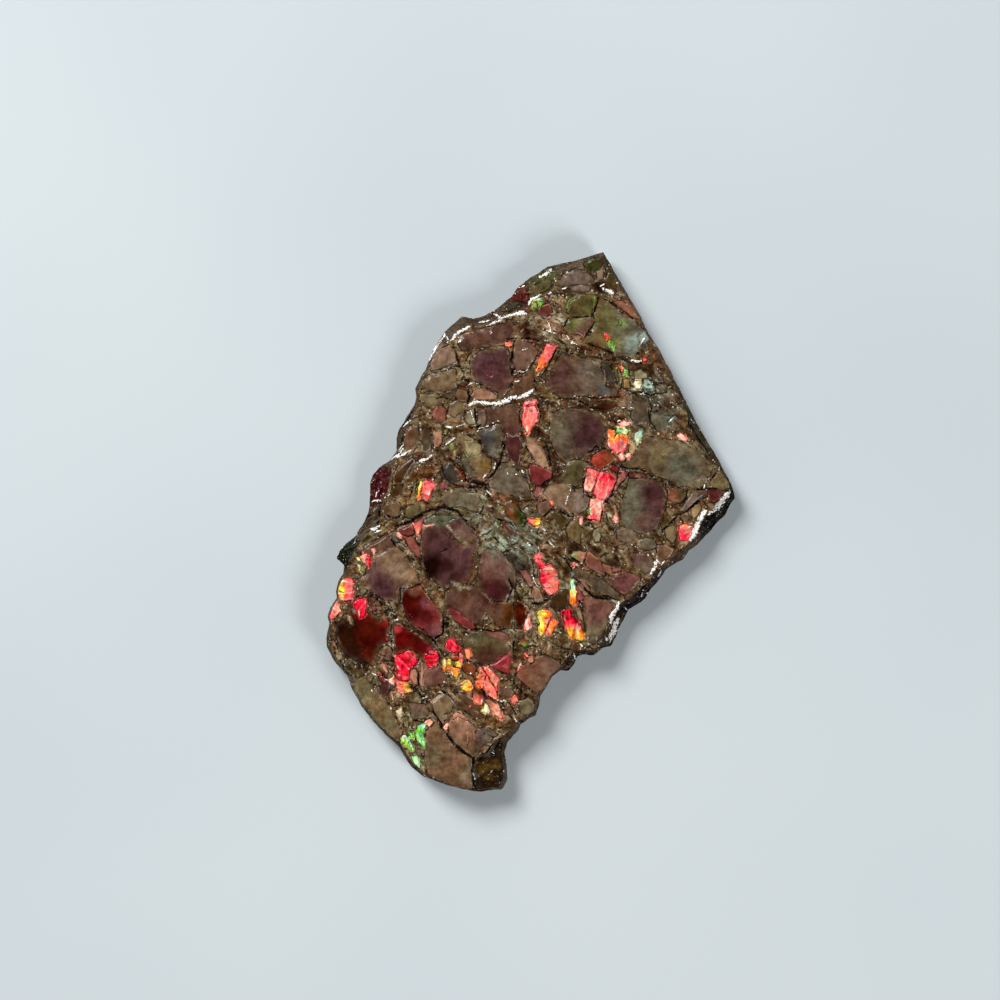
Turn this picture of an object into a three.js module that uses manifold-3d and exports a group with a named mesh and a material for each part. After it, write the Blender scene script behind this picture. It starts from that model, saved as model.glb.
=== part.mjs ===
// An ammolite specimen: a thin fragment of fossil ammonite shell. Its mother-of-pearl is cracked
// into a mosaic of tablets, which a ground mass of crushed shell and dark shale holds together.
// Nature made it as one piece, so it is one solid. Units are millimetres and +Z is up. It lies on
// its flat shale back with the pearl face up, and the origin is under the middle of its plan.
import * as THREE from "three";
import { mergeVertices } from "three/addons/utils/BufferGeometryUtils.js";
import Module from "manifold-3d";

const wasm = await Module();
wasm.setup();

// ---------------------------------------------------------------- driving dimensions (mm)
// Plan outlines are drawn on squared paper, with x to the right and y down the sheet.
const SQUARE = 0.07;
const SHEET_MIDDLE = { x: 530.5, y: 522 };

// The slab is a stack of shale and shell layers, each broken off a little further in than the one
// below it. Below the outline the stack is undercut, by this much at the given heights.
const UNDERCUTS = [
  { inset: 0.7, low: 0, high: 0.55 },
  { inset: 0.3, low: 0.3, high: 0.95 },
];
// Above it, each layer's edge lies this share of the way from the outline to the top layer's edge.
const LAYERS = [
  { share: 0, top: 1.3 },
  { share: 0.26, top: 1.6 },
  { share: 0.52, top: 1.88 },
  { share: 0.78, top: 2.14 },
  { share: 1, top: 2.4 },
];
const LAYER_OVERLAP = 0.3; // how deep each layer reaches into the one below
const EDGE_BREAK = 0.09; // how far a layer's edge wanders, as a share of the ledge's width
const GROUND = 2.4; // the top layer's surface, which the tablets stand on

const LOBE_RISE = 0.18; // the south-west lobe stands above the rest
const STONE_TOP = 1.98; // the block of dark stone at the south end
const SHELF_GROUND = 1.9; // the broken shelf in the north-west

const TABLET_SUNK = 0.4; // how deep a tablet is set in its ground
const TABLET_RISE = { least: 0.13, spread: 0.2 };
const TABLET_SLOPE = 0.035;
const CRACK = 0.05; // what each tablet gives up to the cracks round it

const WHORL_RADIUS = 170; // the shell's curve across its long axis
const LONG_AXIS_TURN = THREE.MathUtils.degToRad(-24); // of the long axis, from +Y
const GROUND_GRIT = 0.05; // unevenness of the ground mass

// ---------------------------------------------------------------- plan outlines, on the squared paper
// Clockwise from the peak: each point of the slab's outline, then the top layer's edge beside it.
const RIM = `
  603,251:602,257 610,262:607,266 621,281:618,283 631,298:628,300 640,314:637,316 646,326:642,328
  653,338:650,341 661,352:657,354 669,367:665,369 677,382:673,384 685,398:681,400 692,411:688,413
  698,422:688,426 705,435:695,438 711,445:703,448 717,455:710,459 722,466:717,467 728,475:723,476
  732,484:728,483 736,498:730,490 730,506:723,498 725,516:716,506 718,522:710,512 712,530:704,519
  705,537:699,529 699,545:692,540 690,550:685,547 684,560:678,551 674,565:671,558 666,571:662,567
  660,579:655,575 653,588:647,583 646,599:638,591 637,605:628,600 629,610:620,603 625,618:614,611
  620,627:610,621 617,636:606,632 612,646:602,641 603,649:597,648 595,656:590,651 585,655:581,650
  578,657:572,652 574,665:566,658 568,672:562,664 560,671:557,668 553,677:550,674 547,687:544,683
  540,697:536,694 539,706:535,704 536,716:531,712 528,720:524,717 521,725:517,721 519,732:513,729
  512,738:506,734 507,744:499,738 505,754:492,745 507,768:485,753 507,781:476,758 503,790:474,768
  490,792:473,778 474,793:471,788 460,790:459,788 445,786:446,783 432,781:433,778 420,776:422,772
  411,768:413,763 404,758:407,755 399,748:402,745 390,740:393,737 380,730:383,727 370,719:373,716
  361,708:364,705 356,698:359,696 350,687:354,685 346,677:349,674 338,668:341,665 331,658:334,655
  326,648:330,646 325,637:329,636 328,624:331,625 326,617:329,616 329,608:332,608 336,599:338,600
  335,590:338,590 338,581:341,582 342,574:346,575 343,566:348,565 336,559:352,556 339,551:357,548
  346,543:362,540 356,535:368,533 361,526:377,527 366,516:381,519 369,506:381,509 369,496:384,500
  369,486:388,491 371,476:390,480 379,467:391,469 390,460:396,461 396,450:402,452 396,439:402,441
  398,428:405,430 406,417:411,420 413,405:416,410 416,396:418,399 415,388:419,389 420,377:424,380
  426,368:429,371 430,356:433,358 436,343:440,348 444,332:448,342 453,323:459,332 461,316:470,327
  473,318:481,325 484,315:494,321 494,310:506,318 503,302:518,315 511,295:527,312 517,287:531,301
  526,280:542,295 537,273:552,291 547,266:557,279 560,262:563,270 575,259:577,264 590,255:591,260
`;

// The middle line that the undercuts draw in toward, from north to south.
const SPINE = "598,330 600,440 545,520 440,610 430,700";

// The south-west lobe, bounded by the deep crack across the slab.
const LOBE = `399,529 412,524 424,516 436,511 452,511 463,517 474,527 483,545 497,548 508,556 515,566
  520,590 530,606 532,632 514,640 513,662 500,670 478,680 440,690 400,694 384,680 366,666 341,652
  334,634 336,622 341,604 354,602 354,580 350,572 358,552 376,541 392,530`;

// The block of dark stone left at the south end.
const STONE = "475,759 486,755 493,747 500,740 505,745 503,755 505,768 505,781 501,788 490,790 476,791";

// The tablets that stand on the shelf, and those that stand on the top layer.
const SHELF_TABLETS = {
  olive_lip: "529,289 537,284 547,279 554,282 552,288 544,293 533,295",
  ember_lip: "514,298 519,290 526,288 530,295 526,304 515,302",
  moss_lip: "500,311 507,303 515,303 523,307 520,312 507,314",
};
const TABLETS = {
  apex_dark: "590,259 602,257 607,263 601,271 593,269 588,264",
  apex_east: "608,272 614,272 620,283 618,291 609,287 605,280",
  crown_taupe: "562,274 575,268 587,271 596,281 588,286 572,289 560,285",
  sprig: "533,300 540,297 550,296 546,303 539,309 533,309",
  maroon_nook: "541,306 550,303 552,312 550,320 543,319 537,312",
  green_strip: "561,303 566,297 578,293 575,302 570,309 565,311 561,309",
  green_north: "579,296 587,293 596,298 595,305 591,315 583,316 572,316 571,310 576,304",
  green_west: "568,319 580,318 592,317 594,322 590,331 584,338 577,334 566,332 564,328",
  great_green: `600,301 606,301 614,306 622,315 633,321 641,329 648,337 645,344 639,352 630,357 618,352 606,347
    597,342 589,341 595,332 597,324 594,316 598,308`,
  rust_rim: "613,301 622,301 629,306 637,313 640,319 630,317 620,311",
  west_band: "459,334 475,329 492,326 512,321 516,328 513,339 505,345 490,346 475,348 462,351 458,343",
  west_brow: "441,348 450,344 455,351 457,362 447,366 431,371 431,361 435,353",
  west_shoulder: "429,374 455,368 459,385 451,390 436,392 420,388 423,380",
  violet_nw: `470,359 481,350 500,348 510,352 511,384 519,391 506,397 496,395 487,389 473,384 465,377 467,366`,
  brown_flake: "515,352 530,347 535,354 533,363 526,370 515,375",
  brown_tongue: "515,380 531,374 534,381 533,389 522,391 514,387",
  brick_tongue: "473,390 481,388 490,391 498,396 496,399 485,400 475,400 471,395",
  shard_red_n: `547,345 552,345 558,347 555,354 551,362 547,368 541,371 539,375 536,374 538,365 540,359 544,354`,
  great_north: `551,372 557,359 562,352 576,357 590,360 600,362 602,375 606,386 617,391 616,396 600,395 575,397
    560,397 550,391 545,384`,
  slate_wing: "603,364 607,363 611,369 615,378 618,388 609,386 604,381",
  leaf_chip: "623,371 628,369 631,373 629,377 624,376",
  pearl_block: "635,379 642,379 643,384 641,389 635,389 634,384",
  pearl_blue: "644,379 650,379 652,384 654,389 646,389 643,386",
  umber_lens: "592,408 600,402 610,401 616,404 615,410 606,413 597,411",
  brown_mid: `477,408 490,406 503,405 512,402 519,403 519,428 514,438 505,431 499,421 489,426 480,428 478,418`,
  grey_wedge: "466,411 473,407 475,415 476,424 470,427 467,424 464,418",
  steel_plate: "478,431 488,428 498,423 502,430 503,440 500,450 494,458 488,454 482,450 480,440 474,435",
  khaki_keel: "459,432 470,437 478,441 481,452 491,459 492,468 486,477 479,478 471,466 463,451 457,441",
  maroon_mid: "505,433 515,441 520,434 521,446 520,462 517,468 511,462 506,456 504,444",
  red_bar: "523,403 536,402 537,409 538,418 536,426 530,430 528,434 525,430 522,422 521,412",
  tan_leaf: "527,436 532,440 540,447 545,458 549,469 544,469 537,463 530,455 526,445",
  maroon_heart: "532,463 545,470 552,473 551,479 545,484 539,488 533,484 528,477 529,469",
  dusk_plate: `552,414 560,409 575,408 590,411 603,417 605,426 604,440 599,448 593,451 589,457 579,458 565,461
    556,455 551,440 549,426`,
  rust_west: "434,432 444,430 444,443 440,448 434,450 432,444",
  pink_west: "434,408 442,406 447,411 446,420 438,423 432,419",
  west_a: "420,394 437,394 446,398 443,404 434,406 425,405 419,400",
  west_b: "449,403 457,399 465,403 464,415 459,421 452,420 448,412",
  west_c: "457,388 466,390 469,396 466,402 459,401 455,396",
  west_leaf: "405,430 410,425 418,426 420,438 415,449 406,449 403,441",
  west_dark: "423,426 431,429 431,449 427,453 421,451 422,440",
  west_brown: "402,463 410,457 417,459 415,466 409,473 404,483 393,483 393,475 396,469",
  west_block: "393,486 403,485 401,495 398,498 393,497 391,492",
  west_step: "385,503 398,500 401,505 399,514 396,519 387,520 383,515 383,508",
  coral_west: "424,482 428,480 434,484 434,488 430,494 427,501 423,500 424,490",
  slate_pocket: "441,468 450,463 456,471 461,480 454,483 445,481 441,476",
  grey_green: `443,491 452,488 462,487 466,492 478,494 481,501 477,513 470,511 462,507 455,507 448,505 442,500`,
  speckled_grey: "499,476 508,471 518,472 526,478 529,488 528,495 520,498 508,498 496,494 491,488 493,481",
  rust_green: "506,503 512,501 520,505 524,512 526,518 523,525 518,526 511,519 506,514 503,508",
  ember_mid: "527,520 533,520 538,518 539,524 536,527 530,526",
  mauve_flake: "531,504 540,501 550,501 552,506 545,514 542,517 535,512 528,510",
  taupe_large: "552,483 563,484 571,488 570,496 566,503 561,509 552,505 546,499 543,492 546,486",
  grey_mauve: "575,489 582,488 587,493 588,500 587,508 580,511 574,515 567,510 570,502 574,496",
  olive_cap: "554,467 565,464 575,462 583,465 585,471 582,480 574,485 565,481 557,479 553,473",
  olive_leaf: "551,512 556,509 563,515 566,524 562,530 557,524 553,518",
  ochre_patch: "568,522 578,518 584,520 585,532 578,540 570,538 566,530",
  flame: "607,433 611,430 614,433 618,430 626,433 628,440 627,447 623,453 618,455 612,451 608,446 606,440",
  flame_green: "617,428 622,426 628,428 631,429 627,433 619,432",
  leaf_sliver: "634,437 639,431 642,434 640,442 637,447 634,444",
  brick: "595,459 600,451 606,448 613,455 617,461 612,466 603,470 594,466 591,463",
  cluster_a: "588,470 592,469 598,471 597,477 594,484 592,490 588,491 584,489 585,480",
  cluster_b: "600,472 608,473 614,476 616,482 614,488 608,492 605,500 600,500 595,492 597,483 599,477",
  cluster_c: "589,501 596,499 603,501 603,508 601,515 600,522 594,521 588,519 590,510",
  maroon_ribbon: "624,470 627,471 625,478 620,485 615,492 611,497 608,499 613,490 618,482 621,474",
  ember_sliver: "612,507 615,504 618,510 619,520 618,525 613,524 612,518 614,513",
  violet_east: `631,481 645,480 655,481 664,485 667,494 664,510 662,520 655,529 645,533 632,531 623,525 621,510
    625,495 628,486`,
  khaki_east: `646,438 656,436 668,439 680,444 690,449 699,458 705,463 708,472 703,485 690,488 678,483 665,475
    650,469 641,465 637,458 641,447`,
  lens_east: "654,406 663,403 673,408 676,416 670,424 660,430 652,427 650,419 652,412",
  grey_east: "633,401 645,403 649,409 649,420 644,427 636,425 631,417",
  coral_chip_e: "677,436 682,433 687,437 688,441 684,442 678,439",
  tip_khaki: "711,479 716,474 723,474 729,481 730,488 722,488 711,486",
  tip_maroon: "708,490 718,490 723,493 720,500 714,503 708,500",
  tip_red_brown: "668,487 676,488 682,492 687,491 686,497 680,504 672,502 667,498",
  tip_mauve: "691,494 700,490 707,484 706,494 698,500 693,505 685,512 681,510 686,501",
  gold_sliver_e: "695,505 700,503 703,508 700,514 694,520 691,514",
  coral_east: "680,526 686,523 691,527 693,533 690,538 684,543 678,545 679,535",
  khaki_leaf_e: "665,530 671,526 675,528 676,538 672,544 666,538",
  se_slate: "638,540 646,537 655,540 657,547 650,551 641,549",
  se_brown: "657,545 666,545 674,550 670,558 662,562 656,556",
  se_grey: "630,554 645,553 654,560 653,570 645,575 636,566",
  knuckle: "616,530 626,528 636,532 638,539 628,543 618,541",
  sliver_green_pink: "571,556 577,551 584,552 584,560 581,564 575,560",
  rose_plate: "588,553 594,555 600,563 606,570 604,578 598,574 590,569 586,562",
  mauve_plate: "606,579 618,580 630,580 636,576 640,580 634,590 628,594 618,590 608,586",
  brown_band: "601,563 612,566 622,569 622,576 610,576 604,571",
  grey_ribbon: "581,568 590,573 603,581 612,590 619,598 610,596 597,589 586,579",
  red_blade: `536,555 541,554 543,562 548,567 553,572 558,580 558,588 553,594 551,596 546,590 541,583 540,570
    537,562`,
  candle: "571,582 575,582 577,590 576,600 574,606 571,604 570,595",
  rose_flake: "578,585 582,590 585,598 581,601 577,598 577,590",
  umber_lozenge: "552,600 560,593 567,592 570,600 567,608 558,609 551,606",
  amber_a: "537,612 543,609 550,610 552,614 550,620 547,628 545,635 540,637 537,630 539,622",
  fan: "560,613 566,609 573,610 576,618 580,625 584,632 584,640 578,641 570,640 566,638 564,630 562,620",
  mauve_se: `585,601 600,598 611,601 615,605 611,612 608,620 603,626 600,635 595,644 589,641 587,632 584,622
    581,611`,
  drop: "527,610 530,617 531,625 529,631 525,630 523,625 526,617",
  pink_sliver_a: "522,570 530,572 534,584 530,590 524,582",
  pink_sliver_b: "533,586 540,590 544,600 538,603 532,597",
  great_violet: `424,528 440,521 450,516 460,519 468,525 475,532 477,540 477,548 474,555 473,568 472,577 465,584
    455,585 445,587 438,581 430,572 424,566 422,550 422,538`,
  violet_right: `483,555 490,550 497,553 505,561 510,569 513,577 513,590 509,599 498,598 488,594 480,588 479,575
    480,562`,
  brown_lobe: `449,592 458,590 470,591 480,592 488,598 490,606 486,612 483,617 479,621 473,617 462,611 451,605
    447,600`,
  maroon_sliver: "445,607 451,607 460,612 470,617 473,624 474,629 468,627 458,621 451,617 448,612",
  amber_plate: "492,603 500,602 509,603 512,610 511,627 500,624 493,619 489,612",
  grey_lobe: `373,561 383,553 393,551 402,551 408,560 414,569 419,579 417,583 408,585 399,587 396,596 392,601
    384,595 376,589 369,582 367,573 371,567`,
  crimson_plate: `402,592 410,588 418,585 424,591 432,601 439,611 441,619 440,628 435,633 428,633 420,627 410,621
    406,612 402,602`,
  garnet_west: `337,625 345,616 348,608 356,606 370,611 380,618 388,619 389,628 388,640 384,645 379,650 376,660
    373,667 366,663 355,661 346,655 339,645 335,635`,
  ruby_block: "357,604 366,600 366,612 362,620 358,616",
  garnet_mid: `395,625 402,626 410,631 420,636 430,641 434,650 431,652 424,655 421,661 417,655 410,649 401,652
    396,650 395,640`,
  ruby_bright: "396,656 402,654 409,651 413,653 417,658 417,666 412,672 408,677 401,675 398,668",
  ruby_foot: "399,679 409,682 407,690 402,690 398,686",
  magenta_mid: "425,658 432,651 437,655 440,661 437,667 430,667 425,663",
  rose_brown: "421,669 432,669 441,671 443,678 439,683 428,683 422,680",
  ruby_north: "445,648 450,639 455,642 460,650 457,653 450,651",
  gold_twin: "447,662 452,665 459,670 459,675 455,678 450,676 449,668",
  gold_round: "464,682 470,681 473,686 472,690 467,692 463,688",
  rust_plate: "463,662 474,664 477,668 473,676 467,675 462,670",
  olive_mauve: "463,638 472,633 481,633 495,641 506,645 509,651 500,657 490,663 480,664 471,655 464,647",
  mauve_strip: "481,632 495,630 508,634 511,640 505,642 490,637",
  rose_triangle: "510,654 509,662 505,668 497,668 489,665",
  fan_left: "481,668 485,674 485,684 481,690 476,684 476,677",
  fan_right: "487,670 492,672 497,680 498,688 497,700 490,696 485,690 487,680",
  fan_foot: "473,695 478,690 482,694 481,704 475,701",
  pearl_strip: "487,700 492,699 500,710 503,718 500,720 492,714 489,707",
  se_rose: `533,658 545,655 559,661 562,667 556,671 549,679 544,689 535,694 525,685 516,677 519,669 527,664`,
  mauve_low: "500,690 510,686 515,693 512,698 504,697",
  olive_low: "518,701 528,698 535,704 534,712 529,716 521,714",
  bar_low: "455,697 462,700 470,706 480,713 484,717 478,719 468,713 458,707",
  diamond: "428,702 440,695 448,694 455,705 450,711 443,721 436,716 431,708",
  tan_oval: "452,719 460,714 468,722 474,731 476,740 475,750 471,755 462,749 456,741 451,733 450,726",
  grey_nub: "480,730 488,728 496,733 499,737 491,743 483,738",
  great_foot: `446,736 453,745 461,752 468,759 472,763 472,780 469,787 456,788 441,782 431,777 429,765 431,750
    437,741`,
  green_a: "402,737 408,734 411,743 415,748 410,750 405,744",
  green_c: "420,728 426,724 427,733 424,745 420,740",
  green_d: "413,756 418,755 421,765 419,769 414,763",
  brown_low: "411,706 420,704 427,712 424,718 414,719 410,712",
  rim_coral: "336,600 340,606 341,611 336,616 330,621 327,616 329,609",
  rim_fire: "338,582 344,579 352,580 353,590 352,600 345,602 340,597 337,592",
  lobe_flash: "362,557 368,554 372,558 371,565 367,569 363,563",
  pink_wedge: "413,523 423,519 422,527 420,533 416,537 413,530",
  maroon_wedge: "399,528 404,525 411,525 413,532 415,540 413,547 409,544 403,538 400,533",
  lobe_brow: "364,546 375,541 388,533 391,540 396,547 385,550 373,556 364,553",
  khaki_sw: "352,684 362,676 376,690 388,703 398,722 402,733 398,744 388,735 375,722 363,707 355,695",
};

// ---------------------------------------------------------------- plan geometry
// Squared-paper coordinates as a point of the plan, in mm.
function planPoint(pair) {
  const [x, y] = pair.split(",").map(Number);
  return new THREE.Vector2((x - SHEET_MIDDLE.x) * SQUARE, (SHEET_MIDDLE.y - y) * SQUARE);
}

const plan = (outline) => outline.trim().split(/\s+/).map(planPoint);

const stations = RIM.trim()
  .split(/\s+/)
  .map((station) => {
    const [outer, inner] = station.split(":").map(planPoint);
    return { outer, inner };
  });

function middleOf(points) {
  const sum = new THREE.Vector2();
  points.forEach((point) => sum.add(point));
  return sum.divideScalar(points.length);
}

// The point of the spine nearest to the given one.
const spine = plan(SPINE);
function nearestOnSpine(point) {
  const candidates = spine.slice(1).map((end, i) => {
    const along = end.clone().sub(spine[i]);
    const share = point.clone().sub(spine[i]).dot(along) / along.lengthSq();
    return spine[i].clone().addScaledVector(along, THREE.MathUtils.clamp(share, 0, 1));
  });
  return candidates.sort((a, b) => a.distanceTo(point) - b.distanceTo(point))[0];
}

// The slab's outline, drawn in toward the spine.
const drawnIn = (inset) =>
  stations.map(({ outer }) => {
    const inward = nearestOnSpine(outer).sub(outer).setLength(inset);
    return outer.clone().add(inward);
  });

// A layer's broken edge, which wanders a little from station to station.
const layerEdge = (share) =>
  stations.map(({ outer, inner }, i) => {
    const inBetween = share > 0 && share < 1;
    const wander = inBetween ? EDGE_BREAK * Math.sin(2.4 * i + 9 * share) : 0;
    return outer.clone().lerp(inner, share + wander);
  });

// A tablet's outline, drawn in by what it gives up to the cracks.
function tabletOutline(outline) {
  const corners = plan(outline);
  const middle = middleOf(corners);
  return corners.map((corner) => {
    const inward = middle.clone().sub(corner).setLength(CRACK);
    return corner.add(inward);
  });
}

const lobe = plan(LOBE);

// Whether a point of the plan lies on the lobe: an odd number of its sides lies to the east of it.
function isOnLobe({ x, y }) {
  const sidesToTheEast = lobe.filter((a, i) => {
    const b = lobe[(i + 1) % lobe.length];
    return a.y > y !== b.y > y && x < a.x + ((b.x - a.x) * (y - a.y)) / (b.y - a.y);
  });
  return sidesToTheEast.length % 2 === 1;
}

// ---------------------------------------------------------------- solids
// A closed three.js geometry as a manifold-3d solid.
function solid(geometry) {
  const bare = geometry.clone();
  bare.deleteAttribute("normal");
  bare.deleteAttribute("uv");
  const merged = mergeVertices(bare, 1e-4);
  return new wasm.Manifold(
    new wasm.Mesh({
      numProp: 3,
      vertProperties: new Float32Array(merged.attributes.position.array),
      triVerts: new Uint32Array(merged.index.array),
    }),
  );
}

// A flat-topped block over a plan outline, as three.js geometry.
function block(outline, low, high) {
  const shape = new THREE.Shape(outline);
  const geometry = new THREE.ExtrudeGeometry(shape, { depth: high - low, bevelEnabled: false });
  return geometry.translate(0, 0, low);
}

const undercuts = () => UNDERCUTS.map(({ inset, low, high }) => solid(block(drawnIn(inset), low, high)));

const layers = () =>
  LAYERS.map(({ share, top }, i) => {
    const floor = i === 0 ? UNDERCUTS.at(-1).high : LAYERS[i - 1].top;
    return solid(block(layerEdge(share), floor - LAYER_OVERLAP, top));
  });

// One tablet, with a rise and a slope of its own.
function tablet(outline, index, layerTop) {
  const edge = tabletOutline(outline);
  const middle = middleOf(edge);
  const ground = layerTop + (isOnLobe(middle) ? LOBE_RISE : 0);
  const rise = TABLET_RISE.least + TABLET_RISE.spread * (0.5 + 0.5 * Math.sin(3.7 * index));
  const geometry = block(edge, ground - TABLET_SUNK, ground + rise);
  const slopeX = TABLET_SLOPE * Math.sin(5.1 * index);
  const slopeY = TABLET_SLOPE * Math.cos(2.9 * index);
  const lean = new THREE.Matrix4().makeShear(0, slopeX, 0, slopeY, 0, 0);
  geometry.translate(-middle.x, -middle.y, 0).applyMatrix4(lean).translate(middle.x, middle.y, 0);
  return solid(geometry);
}

const tablets = (outlines, layerTop) =>
  Object.values(outlines).map((outline, index) => tablet(outline, index, layerTop));

function makeFragment() {
  const pieces = [
    ...undercuts(),
    ...layers(),
    solid(block(lobe, GROUND - LAYER_OVERLAP, GROUND + LOBE_RISE)),
    solid(block(plan(STONE), LAYERS[0].top - LAYER_OVERLAP, STONE_TOP)),
    ...tablets(SHELF_TABLETS, SHELF_GROUND),
    ...tablets(TABLETS, GROUND),
  ];
  return pieces.reduce((whole, piece) => whole.add(piece));
}

// ---------------------------------------------------------------- the shell's own curve and grit
const smoothstep = THREE.MathUtils.smoothstep;

// The height of a point once the flat layers are bent to the whorl and roughened.
function bentHeight(x, y, z) {
  const across = x * Math.cos(LONG_AXIS_TURN) + y * Math.sin(LONG_AXIS_TURN);
  const sag = across ** 2 / (2 * WHORL_RADIUS);
  const grit = GROUND_GRIT * Math.sin(4.1 * x + 2.3 * y) * Math.sin(3.3 * y - 1.9 * x);
  const share = smoothstep(z, UNDERCUTS[0].high, GROUND);
  return z + share * (grit - sag);
}

// A manifold-3d solid as a named mesh, bent to its final shape.
function asMesh(name, shape, material) {
  const { vertProperties, triVerts } = shape.getMesh();
  const geometry = new THREE.BufferGeometry();
  const position = new THREE.BufferAttribute(new Float32Array(vertProperties), 3);
  for (let i = 0; i < position.count; i++) {
    position.setZ(i, bentHeight(position.getX(i), position.getY(i), position.getZ(i)));
  }
  geometry.setAttribute("position", position);
  geometry.setIndex(new THREE.BufferAttribute(triVerts, 1));
  const mesh = new THREE.Mesh(geometry, material);
  mesh.name = name;
  return mesh;
}

const nacre = new THREE.MeshStandardMaterial({ color: 0x5c4c3e, roughness: 0.22, metalness: 0 });

const specimen = new THREE.Group();
specimen.add(asMesh("ammolite_specimen", makeFragment(), nacre));

export default specimen;
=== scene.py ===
"""An ammolite specimen: a thin fragment of fossil ammonite shell lying on its flat shale back.

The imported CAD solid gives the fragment's size and place. This script dresses it: one fine mesh with
the mosaic of pearl tablets, the crushed shell between them, the layered broken edges and the shale
back, with procedural materials, on a pale floor under soft studio light.
"""

import math

import bpy
import numpy as np
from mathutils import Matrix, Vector
from mathutils.geometry import delaunay_2d_cdt


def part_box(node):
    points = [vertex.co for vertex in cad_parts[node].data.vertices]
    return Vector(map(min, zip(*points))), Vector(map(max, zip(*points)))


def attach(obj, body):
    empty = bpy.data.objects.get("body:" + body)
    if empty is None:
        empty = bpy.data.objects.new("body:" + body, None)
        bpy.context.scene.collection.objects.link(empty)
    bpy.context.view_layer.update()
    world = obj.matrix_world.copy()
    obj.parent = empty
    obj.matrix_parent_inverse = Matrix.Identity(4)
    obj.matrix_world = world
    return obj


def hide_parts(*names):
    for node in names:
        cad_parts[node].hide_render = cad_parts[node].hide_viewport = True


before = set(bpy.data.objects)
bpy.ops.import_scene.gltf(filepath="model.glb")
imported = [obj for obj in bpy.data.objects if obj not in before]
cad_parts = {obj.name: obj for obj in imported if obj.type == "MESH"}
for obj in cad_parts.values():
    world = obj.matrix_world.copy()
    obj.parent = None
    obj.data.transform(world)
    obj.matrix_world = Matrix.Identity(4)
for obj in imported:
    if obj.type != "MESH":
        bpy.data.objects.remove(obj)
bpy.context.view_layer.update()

NODE = "ammolite_specimen"
MM = 0.001

# ---------------------------------------------------------------- the plan, on squared paper
# Plan outlines are in pixels of the photograph, x to the right and y down: one square is one pixel.
# The CAD solid's box says where the squares lie: its sides are the outline's extreme squares.
OUTLINE_WEST, OUTLINE_EAST = 325, 736
OUTLINE_NORTH = 251
PHOTO_MIDDLE = (500, 500)
PHOTO_WIDTH = 1000

# Clockwise from the peak: each point of the fragment's outline, then the top layer's edge beside it.
RIM = """
603,251:602,257 610,262:607,266 621,281:618,283 631,298:628,300 640,314:637,316 646,326:642,328
653,338:650,341 661,352:657,354 669,367:665,369 677,382:673,384 685,398:681,400 692,411:688,413
698,422:688,426 705,435:695,438 711,445:703,448 717,455:710,459 722,466:717,467 728,475:723,476
732,484:728,483 736,498:730,490 730,506:723,498 725,516:716,506 718,522:710,512 712,530:704,519
705,537:699,529 699,545:692,540 690,550:685,547 684,560:678,551 674,565:671,558 666,571:662,567
660,579:655,575 653,588:647,583 646,599:638,591 637,605:628,600 629,610:620,603 625,618:614,611
620,627:610,621 617,636:606,632 612,646:602,641 603,649:597,648 595,656:590,651 585,655:581,650
578,657:572,652 574,665:566,658 568,672:562,664 560,671:557,668 553,677:550,674 547,687:544,683
540,697:536,694 539,706:535,704 536,716:531,712 528,720:524,717 521,725:517,721 519,732:513,729
512,738:506,734 507,744:499,738 505,754:492,745 507,768:485,753 507,781:476,758 503,790:474,768
490,792:473,778 474,793:471,788 460,790:459,788 445,786:446,783 432,781:433,778 420,776:422,772
411,768:413,763 404,758:407,755 399,748:402,745 390,740:393,737 380,730:383,727 370,719:373,716
361,708:364,705 356,698:359,696 350,687:354,685 346,677:349,674 338,668:341,665 331,658:334,655
326,648:330,646 325,637:329,636 328,624:331,625 326,617:329,616 329,608:332,608 336,599:338,600
335,590:338,590 338,581:341,582 342,574:346,575 343,566:348,565 336,559:352,556 339,551:357,548
346,543:362,540 356,535:368,533 361,526:377,527 366,516:381,519 369,506:381,509 369,496:384,500
369,486:388,491 371,476:390,480 379,467:391,469 390,460:396,461 396,450:402,452 396,439:402,441
398,428:405,430 406,417:411,420 413,405:416,410 416,396:418,399 415,388:419,389 420,377:424,380
426,368:429,371 430,356:433,358 436,343:440,348 444,332:448,342 453,323:459,332 461,316:470,327
473,318:481,325 484,315:494,321 494,310:506,318 503,302:518,315 511,295:527,312 517,287:531,301
526,280:542,295 537,273:552,291 547,266:557,279 560,262:563,270 575,259:577,264 590,255:591,260
"""

# The middle line that the undercut side draws in toward, from north to south.
SPINE = "598,330 600,440 545,520 440,610 430,700"

# The south-west lobe, bounded by the deep crack across the slab.
LOBE = """399,529 412,524 424,516 436,511 452,511 463,517 474,527 483,545 497,548 508,556 515,566
520,590 530,606 532,632 514,640 513,662 500,670 478,680 440,690 400,694 384,680 366,666 341,652
334,634 336,622 341,604 354,602 354,580 350,572 358,552 376,541 392,530"""

# The block of dark stone left at the south end.
STONE = "475,759 486,755 493,747 500,740 505,745 503,755 505,768 505,781 501,788 490,790 476,791"

# ---------------------------------------------------------------- heights and sizes (mm)
# The flat layers from the lowest up, and where each one's lip lies: its share of the way in from the
# outline to the top layer's edge.
LAYER_TOPS = (1.3, 1.6, 1.88, 2.14, 2.4)
LAYER_SHARES = (0.0, 0.26, 0.52, 0.78, 1.0)
GROUND = LAYER_TOPS[-1]
LOWEST_LIP = 0.18
# How far a lip wanders on that way. Then its rows, each a share of the way out and some mm down from its
# layer's top, and its foot, which is a share out and some mm over the layer below.
LIP_WANDER = 0.16
LIP_ROWS = ((0.0, 0.015), (0.03, 0.09))
FOOT_OUT, FOOT_RISE = 0.05, 0.03
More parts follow.
